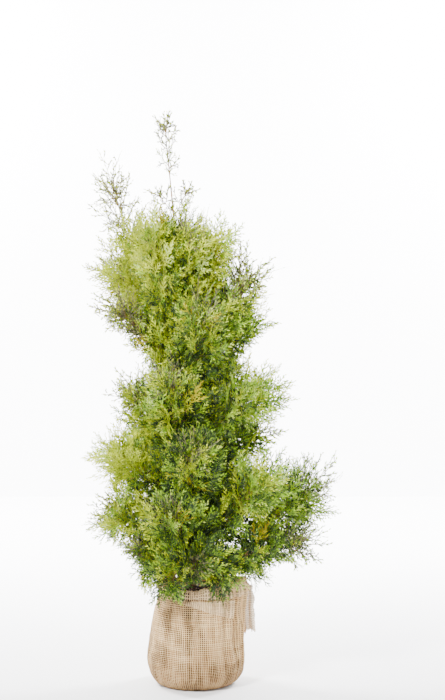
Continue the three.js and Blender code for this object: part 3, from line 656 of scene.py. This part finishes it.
PLUME_TIP_RADIUS = 0.8
FIRST_SEED = 1009
SEED_STEP = 7717
LEADER_SEED = 90001
LEADER_BEND = 60
LEADER_SPREAD = 66
LEADER_FANS = 2
BOUGH_SIDES = 14
BOUGH_STEPS = 26


class Curve:
    """A bent line through a start, a bend and an end, read by its share from 0 to 1."""

    def __init__(self, start, bend, end):
        self.start, self.bend, self.end = start, bend, end

    def point(self, share):
        rest = 1 - share
        return self.start * rest * rest + self.bend * 2 * rest * share + self.end * share * share

    def tangent(self, share):
        slope = (self.bend - self.start) * (1 - share) + (self.end - self.bend) * share
        return slope.normalized()

    def length(self):
        trace = [self.point(i / 60) for i in range(61)]
        return sum((b - a).length for a, b in zip(trace, trace[1:]))


def bough_curve(foot, bearing, reach, tip, sweep, lift):
    """The line of one bough from the stem to the tip of its mass."""
    out = on_circle(math.radians(bearing), 1, 0)
    start = stem_at(foot)
    bend = start + out * reach * sweep + Vector((0, 0, (tip - foot) * lift))
    return Curve(start, bend, start + out * reach + Vector((0, 0, tip - foot)))


def square(direction):
    """Two unit vectors square to a direction and to each other."""
    side = direction.cross(Vector((1, 0, 0)) if abs(direction.z) > 0.97 else Vector((0, 0, 1))).normalized()
    return side, side.cross(direction).normalized()


def add_limb(points, faces, curve, run, radii, sides, steps, relief=0):
    """Adds a tapering limb along part of a curve, closed at both ends, with bark that stands out."""
    first = len(points)
    for i in range(steps + 1):
        share, radius = (low + (high - low) * i / steps for low, high in (run, radii))
        centre = curve.point(share)
        side, lift = square(curve.tangent(share))
        for j in range(sides):
            turn = -2 * math.pi * j / sides
            away = side * math.cos(turn) + lift * math.sin(turn)
            grown = radius + relief * bark_relief(turn, share * 400 + centre.z, radius)
            points.append(centre + away * grown)
    last = first + steps * sides
    for ring in range(first, last, sides):
        for j in range(sides):
            a, b = ring + j, ring + (j + 1) % sides
            faces.append((a, b, b + sides, a + sides))
    faces.append(tuple(range(first + sides - 1, first - 1, -1)))
    faces.append(tuple(range(last, last + sides)))


def joined(name, points, faces, material):
    """One mesh from arrays of points, in millimetres, and faces."""
    mesh = bpy.data.meshes.new(name)
    mesh.from_pydata((np.asarray(points, dtype=float) * MM).tolist(), [], faces)
    mesh.materials.append(material)
    piece = bpy.data.objects.new(name, mesh)
    bpy.context.scene.collection.objects.link(piece)
    return piece


plants = []
for index, (name, row) in enumerate(BOUGHS.items()):
    foot, bearing, reach, tip, sweep, lift, limb, dense, spread, fans = row
    plants.append({
        "name": name, "curve": bough_curve(foot, bearing, reach, tip, sweep, lift), "hangs": tip < foot,
        "limb": limb, "dense": dense, "spread": spread, "fans": fans,
        "seed": FIRST_SEED + SEED_STEP * index, "radius": BOUGH_SHARE * stem_radius(foot),
    })
plants.append({
    "name": "leader", "curve": Curve(stem_at(STEM_TOP), stem_at(STEM_TOP + LEADER_BEND), stem_at(HEIGHT)),
    "hangs": False, "limb": 0, "dense": 0, "spread": LEADER_SPREAD, "fans": LEADER_FANS,
    "seed": LEADER_SEED, "radius": STEM_TIP_RADIUS,
})

points, faces = [], []
for plant in plants:
    if plant["limb"]:
        run = (BOUGH_BEGIN, plant["limb"] + BOUGH_BEGIN)
        radii = (plant["radius"], plant["radius"] * BOUGH_TAPER)
        add_limb(points, faces, plant["curve"], run, radii, BOUGH_SIDES, BOUGH_STEPS, 1)
boughs = joined("bough_bark", points, faces, bark("bough_bark", tone(96, 66, 46), tone(164, 122, 86), 0.3))
boughs.data.shade_smooth()
hand_over(boughs, "bark", *["bough_" + plant["name"] for plant in plants if plant["limb"] > 0])


# ---- Twigs -------------------------------------
# From the end of each limb a thin green-brown stem runs on through its mass, and side twigs leave
# it by a seeded rule, a golden turn apart. Between the rule's own twigs there are finer ones.
GOLDEN_ANGLE = math.radians(137.5)
TWIG_LEAN = math.radians(52)
SIDE_LEAN = math.radians(58)
TURN_UP = 0.28
STALK_SHARE = 0.34
SUNK = 3.4
LEADING_LENGTH = 0.86
SIDE_SPRAYS = [(0.36, 1, 0.66), (0.72, -1, 0.6)]
FACING_OUT = 0.45
MORE_UP = 0.7
DROOP = 1.6
HANG_FROM = 0.52
FINE_STEP = 2
BARE_STEP = 13
LEAFY = {"right_crown", "right_shoulder", "right_waist", "right_inner", "left_mid", "front_crown"}
OPEN_BEFORE = 0.1
OPEN_MORE = {"right_sail": 0.18, "right_low": 0.06, "left_plume": 0.12, "right_shoot": 0.2,
             "left_shoulder": 0.24, "left_crown": 0.04}
OPEN_SHARE = 0.36
SPARSE = {"left_plume"}
SPARSE_SHARE = 0.72
TIP_FANS = 9
FEW_TIP_FANS = 3
FEW_AT_TIP = {"left_plume", "right_sail"}
TIP_LEAN = math.radians(44)
TIP_TURN_UP = 0.1
INNER_FROM = 262
LOW_TO = 540
INNER_TO = 1050
LOW_STEP = 1.2
INNER_STEP = 2.6
TUFT_HEIGHTS = (1170, 1178, 1185, 1191, 1196, 1201)
INNER_REACH_AT = (420, 560, 860, 900, 1060, 1170)
INNER_REACH = (154, 128, 128, 84, 84, 46)
CLEAR_OF_STEM = 1.2
CLEAR_OF_BALL = 5
CLEAR_OF_SOIL = 6
OUTSIDE_COLLAR = 104
STEM_SIDES = 7
STEM_STEPS = 16
TWIG_SIDES = 4
TWIG_STEPS = 3
TWIG_RADII = (1.25, 0.75)
UP = Vector((0, 0, 1))


def dice(seed):
    """A repeatable run of numbers from 0 to 1."""
    state = seed
    while True:
        state = state * 16807 % 2147483647
        yield state / 2147483647


def leaning(curve, share, turn, lean):
    """A unit vector that leans away from a curve, towards a turn about it."""
    along = curve.tangent(share)
    side, lift = square(along)
    away = side * math.cos(turn) + lift * math.sin(turn)
    return (along * math.cos(lean) + away * math.sin(lean)).normalized()


def facing_out(root, heading, twist):
    """The normal of a spray that turns its flat to the light, apart from a twist."""
    out = root - stem_at(root.z) + heading * 60
    out = Vector((out.x, out.y, 0.35 * out.length))
    normal = (out - heading * out.dot(heading)).normalized()
    return (normal * math.cos(twist) + heading.cross(normal) * math.sin(twist)).normalized()


def upright(root, heading, twist):
    """The normal of a spray that stands upright, apart from a twist, wherever its root is."""
    side, lift = square(heading)
    return (side * math.cos(twist) + lift * math.sin(twist)).normalized()


def fan(root, stalk, reach, twist, sides, lie=upright, turn_up=TURN_UP):
    """A root, its stalk, and its sprays: a leading one, turned up a little, and side ones on the
    stalk. Each spray is its foot, its heading, its plane's normal and its length."""
    along = stalk.normalized()
    heading = (along + UP * turn_up).normalized()
    normal = lie(root, heading, twist)
    across = normal.cross(along).normalized()
    flat = along.cross(across)
    sprays = [(root + stalk, heading, normal, reach * LEADING_LENGTH)]
    for share, way, length in sides:
        aside = (along * math.cos(SIDE_LEAN) + across * way * math.sin(SIDE_LEAN)).normalized()
        sprays.append((root + stalk * share + aside * SUNK * 0.5, aside, flat, length * reach))
    return root, stalk, sprays


def plume_fans(plant):
    """The rule's own fans and sprays of one mass, in the order of its draws."""
    roll = dice(plant["seed"])
    curve, spread, fans, dense, limb = (plant[k] for k in ("curve", "spread", "fans", "dense", "limb"))
    length = curve.length()
    tip_spray = min(0.8 * spread + 18, length * 0.34)
    stem_end = 1 - tip_spray / length
    run = stem_end - limb
    lie = math.pi / 2 if plant["hangs"] else 0
    turn = next(roll) * 2 * math.pi
    grown = []
    for k in range(fans):
        share = limb + run * (k + 0.5) / fans
        turn += GOLDEN_ANGLE
        fullness = 0.72 + 0.28 * math.sin(math.pi * (k + 0.7) / (fans + 0.4))
        reach = spread * fullness * (0.86 + 0.28 * next(roll))
        stalk = leaning(curve, share, turn, TWIG_LEAN) * reach * STALK_SHARE
        twist = lie + (next(roll) - 0.5) * 2.2
        grown.append((share, fan(curve.point(share), stalk, reach, twist, SIDE_SPRAYS)))
        if dense and k == fans - 1:
            break
        aside = min(stem_end - 0.02, share + 0.45 * run / fans)
        heading = leaning(curve, aside, turn + math.pi, TWIG_LEAN * 0.86)
        root = curve.point(aside)
        normal = upright(root, heading, lie + (next(roll) - 0.5) * 2.4)
        sprays = [(root, heading, normal, reach * (0.86 + 0.2 * next(roll)))]
        grown.append((aside, (root, heading * 4, sprays)))
    foot = curve.point(stem_end)
    heading = (curve.point(1) - foot).normalized()
    normal = upright(foot, heading, lie + (next(roll) - 0.5) * 1.6)
    grown.append((1, (foot, heading * 2, [(foot, heading, normal, tip_spray)])))
    return grown, stem_end


def is_open(plant, share):
    """Whether a mass is open at this share of its stem, as most are towards their tips."""
    leafy = plant["hangs"] or plant["name"] in LEAFY
    return not leafy and share > plant["dense"] - OPEN_MORE.get(plant["name"], OPEN_BEFORE)


def finer_fans(plant, stem_end):
    """More fans by the same rule, one each few millimetres of the mass's stem, none reaching past
    the rule's own. Some are left out where the mass is open. The last few stand near its tip."""
    curve, spread, limb = plant["curve"], plant["spread"], plant["limb"]
    roll = dice(plant["seed"] + 31)
    step = FINE_STEP if plant["dense"] or plant["hangs"] else BARE_STEP
    count = int(curve.length() * (stem_end - limb) / step)
    turn = next(roll) * 2 * math.pi
    grown = []
    for k in range(count):
        share = limb + (stem_end - limb) * (k + 0.3 + 0.4 * next(roll)) / count
        turn += GOLDEN_ANGLE
        fullness = 0.66 + 0.3 * math.sin(math.pi * (k + 0.7) / (count + 0.4))
        reach = spread * fullness * (0.62 + 0.36 * next(roll))
        stalk = leaning(curve, share, turn, TWIG_LEAN * (0.8 + 0.4 * next(roll))) * reach * STALK_SHARE * 1.15
        draw = next(roll)
        left_out = SPARSE_SHARE if plant["name"] in SPARSE else OPEN_SHARE
        if is_open(plant, share) and draw < left_out:
            continue
        twist = (next(roll) - 0.5) * 1.7
        drooping = plant["hangs"] and share > HANG_FROM
        lie = facing_out if next(roll) < FACING_OUT or drooping else upright
        up = -DROOP * next(roll) if drooping else TURN_UP + MORE_UP * next(roll)
        grown.append((share, fan(curve.point(share), stalk, reach, twist, SIDE_SPRAYS, lie, up)))
    few = not plant["dense"] or plant["name"] in FEW_AT_TIP
    for k in range(FEW_TIP_FANS if few else TIP_FANS):
        share = stem_end * (0.84 + 0.15 * next(roll))
        turn += GOLDEN_ANGLE
        reach = curve.length() * (1 - share) * (0.6 + 0.3 * next(roll))
        stalk = leaning(curve, share, turn, TIP_LEAN * (0.4 + 0.6 * next(roll))) * reach * STALK_SHARE
        twist = (next(roll) - 0.5) * 2
        grown.append((1, fan(curve.point(share), stalk, reach, twist, SIDE_SPRAYS, upright, TIP_TURN_UP)))
    return grown


def inner_fans():
    """Short shoots that spring from the stem itself: all the way up the dense part of the crown,
    closest together low down, and in one tuft on the bare stem above it."""
    roll = dice(LEADER_SEED + 7)
    low_heights = np.arange(INNER_FROM, LOW_TO, LOW_STEP)
    grown = []
    turn = 0
    for z in [*low_heights, *np.arange(LOW_TO, INNER_TO, INNER_STEP), *TUFT_HEIGHTS]:
        turn += GOLDEN_ANGLE
        out = on_circle(turn, 1, 0.5 + 0.7 * next(roll)).normalized()
        reach = float(np.interp(z, INNER_REACH_AT, INNER_REACH))
        reach *= 0.6 + 0.4 * next(roll)
        root = stem_at(float(z))
        stalk = out * reach * STALK_SHARE * 1.2
        twist = (next(roll) - 0.5) * 1.7
        lie = facing_out if next(roll) < FACING_OUT else upright
        grown.append((0, fan(root, stalk, reach, twist, SIDE_SPRAYS, lie)))
    return grown


def clear(point):
    """Whether a point keeps clear of the stem, the ball, and the soil and collar on top of it."""
    from_stem = (point - stem_at(point.z)).length
    if point.z < STEM_TOP and from_stem < stem_radius(point.z) + CLEAR_OF_STEM:
        return False
    from_axis = math.hypot(point.x, point.y)
    if point.z < BALL_HEIGHT and from_axis < ball_radius(point.z) + CLEAR_OF_BALL:
        return False
    return point.z > SOIL_TOP + CLEAR_OF_SOIL or from_axis > OUTSIDE_COLLAR


sprays = []
points, faces = [], []


def keep_fans(plant, grown_fans):
    """Keeps the sprays that are clear, and gives each fan that has some its twig."""
    for share, (root, stalk, grown) in grown_fans:
        kept = [s for s in grown if clear(s[0]) and clear(s[0] + s[1] * s[3])]
        if not kept:
            continue
        twig = Curve(root, root + stalk * 0.5 - UP * stalk.length * 0.05, root + stalk * 1.06)
        add_limb(points, faces, twig, (0, 1), TWIG_RADII, TWIG_SIDES, TWIG_STEPS)
        sprays.extend((plant, share, *spray) for spray in kept)


for plant in plants:
    own, stem_end = plume_fans(plant)
    begin = plant["limb"] or BOUGH_BEGIN
    entry = plant["radius"] * (1 + (BOUGH_TAPER - 1) * (1 if plant["limb"] else 0.2))
    radii = (entry, PLUME_TIP_RADIUS)
    add_limb(points, faces, plant["curve"], (begin, stem_end), radii, STEM_SIDES, STEM_STEPS)
    keep_fans(plant, own)
    keep_fans(plant, finer_fans(plant, stem_end))
keep_fans({"name": "inner", "dense": 1, "hangs": False}, inner_fans())
twigs = joined("twigs", points, faces, bark("twig_bark", tone(110, 84, 52), tone(158, 134, 84), 0.7))
twigs.data.shade_smooth()
foliage_nodes = ["foliage_" + plant["name"] for plant in plants]
hand_over(twigs, "bark", *foliage_nodes)


# ---- Foliage -----------------------------------
# Flat sprays of scale leaves. In each one an axis bears side shoots turn about, and each of them is
# a narrow feather: a rib with short twiglets turn about, all in about one plane.
#
# A form's factors are for the spacing and length of the side shoots, for the spacing and length of
# their twiglets, and for the leaves' width.
FULL_FORM = (1, 1, 1, 1, 1)
OPEN_FORM = (1.35, 1.05, 1, 0.8, 1)
BARE_FORM = (1.3, 0.8, 1.5, 0.52, 1.2)
BARE_FROM = 0.93
NEVER_BARE = {"left_crown"}
INNER, RIB, OUTER, ENDMOST = range(4)
OUTER_FROM = 0.45
ENDMOST_FROM = 0.75
RIB_OVERLAP = 0.42
RIB_WIDTH = 0.86
SHOOT_STEP = 11.5
SHOOT_LEAN = math.radians(38)
SHOOT_LENGTH = 0.58
TWIGLET_LEAN = math.radians(33)
TWIGLET_STEP = 6
TWIGLET_LENGTH = 17
RIB_PIECE = 16
LEAF_WIDTH = 2.8
LEAF_THICKNESS = 0.22
WIDEST = 0.4
BEND = 0.12
CROWN_ROOM = 7
LEAF_LOWEST = 250
APRON_LOWEST = 156
CLOTH_TOP = 242
COLLAR_INSIDE = 76
COLLAR_OUTSIDE = 105
TAIL_ROOM = 22
MOST_LEAVES = 47000
SPRAY_SEED = 4001
SPRAY_SEED_STEP = 613


def feather(rows, foot_x, angle, first, length, roll, form):
    """Adds a rib and its twiglets, each as a start, an end, a normal and a width in the spray's own
    axes. The feather is rolled a little about its rib, and its tip droops."""
    cos, sin = math.cos(angle), math.sin(angle)
    rolled = (next(roll) - 0.5) * 1.3
    sunk = 0.1 + 0.25 * next(roll)
    normal = (sin * rolled, -cos * rolled, 1)

    def at(along, aside):
        droop = rolled * aside - sunk * along * along / (length + 20)
        return foot_x + cos * along - sin * aside, sin * along + cos * aside, droop

    _, _, spacing, longer, wider = form
    pieces = max(1, round(length / RIB_PIECE))
    piece = length / pieces
    for i in range(pieces):
        last = i + 1 == pieces
        begin, end = at((i - RIB_OVERLAP) * piece, 0), at((i + 1 + RIB_OVERLAP * (not last)) * piece, 0)
        rows.append((*begin, *end, *normal, LEAF_WIDTH * RIB_WIDTH * wider, RIB))
    way = 1 if next(roll) < 0.5 else -1
    along = first + TWIGLET_STEP * next(roll)
    while along < length - 2:
        left = min(TWIGLET_LENGTH * longer, 4 + 0.4 * (length - along)) * (0.72 + 0.5 * next(roll))
        lean = TWIGLET_LEAN * (1.1 - 0.3 * along / length)
        tip = at(along + math.cos(lean) * left, way * math.sin(lean) * left)
        kind = INNER if along < length * OUTER_FROM else OUTER if along < length * ENDMOST_FROM else ENDMOST
        rows.append((*at(along - 0.8, 0), *tip, *normal, LEAF_WIDTH * wider, kind))
        way = -way
        along += TWIGLET_STEP * (0.75 + 0.5 * next(roll)) * spacing


def flat_spray(length, roll, form):
    """All of one spray's leaves in its own axes: its leading feather and those on either side."""
    rows = []
    feather(rows, 0, 0, length * 0.42, length, roll, form)
    way = 1 if next(roll) < 0.5 else -1
    x = length * 0.08 + SHOOT_STEP * 0.5 * next(roll)
    while x < length * 0.82:
        left = (SHOOT_LENGTH * (length - x) + 5) * (0.72 + 0.5 * next(roll)) * form[1]
        angle = way * SHOOT_LEAN * (0.85 + 0.3 * next(roll))
        feather(rows, x, angle, 3, left, roll, form)
        way = -way
        x += SHOOT_STEP * (0.75 + 0.5 * next(roll)) * form[0]
    return np.array(rows)


def form_of(plant, share):
    """How full the sprays are at this share of a mass's stem."""
    if not is_open(plant, share):
        return FULL_FORM
    bare_tip = share > BARE_FROM and plant["name"] not in NEVER_BARE
    return BARE_FORM if not plant["dense"] or plant["name"] in SPARSE or bare_tip else OPEN_FORM


ball_heights = np.linspace(0, BALL_HEIGHT, 60)
ball_edges = [ball_radius(z) + 6 for z in ball_heights]
crown_low, crown_high = (np.array(corner) / MM + way * CROWN_ROOM for corner, way in zip(cad_box, (-1, 1)))


def free(places, lowest):
    """Which of these places are inside the crown's box and outside all that is wrapped or tied."""
    from_axis, z = np.hypot(places[:, 0], places[:, 1]), places[:, 2]
    from_tail = np.hypot(places[:, 0] - TAIL_X, places[:, 1] - TAIL_Y)
    wrapped = (z < BALL_HEIGHT) & (from_axis < np.interp(z, ball_heights, ball_edges))
    gathered = (z < CLOTH_TOP) & (from_axis > COLLAR_INSIDE) & (from_axis < COLLAR_OUTSIDE)
    tied = (z < CLOTH_TOP) & (from_tail < TAIL_ROOM)
    inside = np.all((places > crown_low) & (places < crown_high), axis=1)
    return inside & ~wrapped & ~gathered & ~tied & (z > lowest)


def placed_spray(rows, foot, heading, normal, length, roll, lowest):
    """The same leaves in the plant: starts, ends, normals, widths and kinds, with the spray bent."""
    axes = np.array((heading, normal.cross(heading).normalized(), normal))
    bend = BEND * (next(roll) * 1.6 - 0.5)
    starts, ends, normals, widths = rows[:, 0:3].copy(), rows[:, 3:6].copy(), rows[:, 6:9], rows[:, 9]
    for places in (starts, ends):
        places[:, 2] -= bend * places[:, 0] ** 2 / length
    starts, ends = starts @ axes + np.array(foot), ends @ axes + np.array(foot)
    kept = free(ends, lowest) & free((starts + ends) / 2, lowest)
    return starts[kept], ends[kept], (normals @ axes)[kept], widths[kept], rows[kept, 10]


def blades(starts, ends, normals, widths):
    """Closed leaves in their own kite outline, keeled below: four faces on four points."""
    along = ends - starts
    across = np.cross(normals, along)
    across /= np.linalg.norm(across, axis=1)[:, None]
    out = np.cross(along, across)
    out /= np.linalg.norm(out, axis=1)[:, None]
    middle = starts + along * WIDEST + out * widths[:, None] * LEAF_THICKNESS
    aside = across * widths[:, None] / 2
    points = np.stack([starts, middle + aside, middle - aside, ends], axis=1).reshape(-1, 3)
    pattern = np.array([(0, 2, 1), (3, 1, 2), (0, 1, 3), (0, 3, 2)])
    faces = (np.arange(len(starts))[:, None, None] * 4 + pattern).reshape(-1, 3)
    return points, faces.tolist()


# Six cool tints from the painted shade of the crown's inside to the pale tips with a painted
# highlight, the last four of them again but warm, one tint for the few browned sprays, and one for
# the ribs where a mass is open. The shade and deep tints are painted shade inside the crown. The
# pale and straw tints are the pale tips with a painted highlight on them.
TINTS = [
    ("shade", (34, 46, 30), (50, 72, 20)),
    ("deep", (62, 80, 46), (84, 112, 26)),
    ("green", (90, 112, 54), (116, 144, 34)),
    ("fresh", (108, 142, 50), (134, 172, 30)),
    ("bright", (132, 164, 58), (160, 194, 36)),
    ("pale", (172, 191, 104), (193, 210, 86)),
    ("moss", (102, 116, 24), (128, 146, 14)),
    ("olive", (130, 145, 28), (158, 175, 16)),
    ("lime", (156, 168, 36), (182, 194, 24)),
    ("straw", (180, 191, 74), (200, 210, 56)),
    ("golden", (150, 138, 28), (188, 176, 24)),
    ("ribs", (94, 92, 66), (124, 118, 84)),
]
PALEST = 5
WARMER = 4
GOLDEN = 10
GOLDEN_SHARE = 0.01
RIBS = 11
# Inner leaves and ribs of a spray get darker tints, which are painted shade, and the outer and endmost leaves
# lighter tints, which are the paler tips with a painted highlight.
KIND_LIGHTER = (-1.4, -1.0, 0.5, 1.6)
# Lighter to the left is painted light from the key lamp on that side. Lighter higher up and further out is
# painted light, and painted shade inside the crown, over the paler young growth.
LIGHTNESS = 0.13
LIGHTER_UP = 0.38
PAINTED_LIGHT_LEFT = 0.07
LIGHTER_OUT = 0.4
DARKER_OPEN = 0.1
WARMTH = 0.42
WARMER_LEFT = 0.25
WARMER_TOP = 0.25
STEADIER_OUT = 0.45
CROWN_AT = (250, 850, 1090)
CROWN_HALF = (185, 165, 50)
# Lightness shifts for single masses. The darker shift for the inner shoots is painted shade inside the crown.
TINT_SHIFT = {
    "left_mid": 0.14, "left_waist": 0.06, "right_waist": 0.08, "left_crown": 0.08, "right_crown": 0.14,
    "front_top": 0.1, "front_crown": 0.06, "right_sail": -0.02, "right_low": -0.06, "front_shoulder": -0.02,
    "front_mid": -0.04, "inner": -0.06,
}


def tint_of(point, aside, shift, roll):
    """How light a spray is, and whether it is warm: lighter higher up, further out and to the left,
    which is partly the paler young growth and partly painted light from the upper left with painted
    shade inside the crown, and warm more often to the left and at the top, with chance in both."""
    chance, warmth = next(roll), next(roll)
    around = float(np.interp(point.z, CROWN_AT, CROWN_HALF))
    outwards = min(1, math.hypot(aside.x, aside.y * 0.5) / around)
    up, right, top = (point.z - 250) / 1000, point.x / 200, max(0, point.z - 700) / 400
    score = LIGHTNESS + LIGHTER_UP * up - PAINTED_LIGHT_LEFT * right + LIGHTER_OUT * outwards + shift
    warm = WARMTH - WARMER_LEFT * right + WARMER_TOP * top + shift
    level = (score + (1 - STEADIER_OUT * outwards) * (chance - 0.5)) * (PALEST + 1)
    return level, warmth < warm


def nearest_tint(level, warm):
    """The tint for a level. The two darkest have no warm one."""
    tint = min(PALEST, max(0, int(level)))
    return tint + WARMER if warm and tint > 1 else tint


dealt = [[] for _ in TINTS]
for number, (plant, share, foot, heading, normal, length) in enumerate(sprays):
    roll = dice(SPRAY_SEED + SPRAY_SEED_STEP * number)
    for _ in range(3):
        next(roll)
    rows = flat_spray(length, roll, form_of(plant, share))
    opened = is_open(plant, share)
    middle = foot + heading * length * 0.6
    shift = TINT_SHIFT.get(plant["name"], 0) - (DARKER_OPEN if opened else 0)
    level, warm = tint_of(middle, middle - stem_at(middle.z), shift, roll)
    is_golden = next(roll) < GOLDEN_SHARE
    lowest = APRON_LOWEST if plant["hangs"] and share > HANG_FROM else LEAF_LOWEST
    *leaves, kinds = placed_spray(rows, foot, heading, normal, length, roll, lowest)
    # Painted shade on the inner leaves and ribs, and a painted highlight on the outer and endmost leaves.
    for kind, lighter in enumerate(KIND_LIGHTER):
        green = RIBS if kind == RIB and opened else nearest_tint(level + lighter, warm)
        dealt[GOLDEN if is_golden else green].append([part[kinds == kind] for part in leaves])
for (name, dull, bright), placed in zip(TINTS, dealt):
    leaf, shader, start = finish("leaf_" + name, 0.55, 0.12)
    where = start.node("TexCoord", out=3)
    flecks = speckle(where, 60, 2)
    feed(shader, "Base Color", flecks.between(0.42, 0.58).mixed(tone(*dull), tone(*bright)))
    shares = math.ceil(sum(len(part[0]) for part in placed) / MOST_LEAVES)
    for number in range(shares):
        points, faces = blades(*(np.concatenate(parts) for parts in zip(*placed[number::shares])))
        leaves = joined("sprays_" + name + "_" + str(number + 1), points, faces, leaf)
        hand_over(leaves, "foliage", *foliage_nodes)
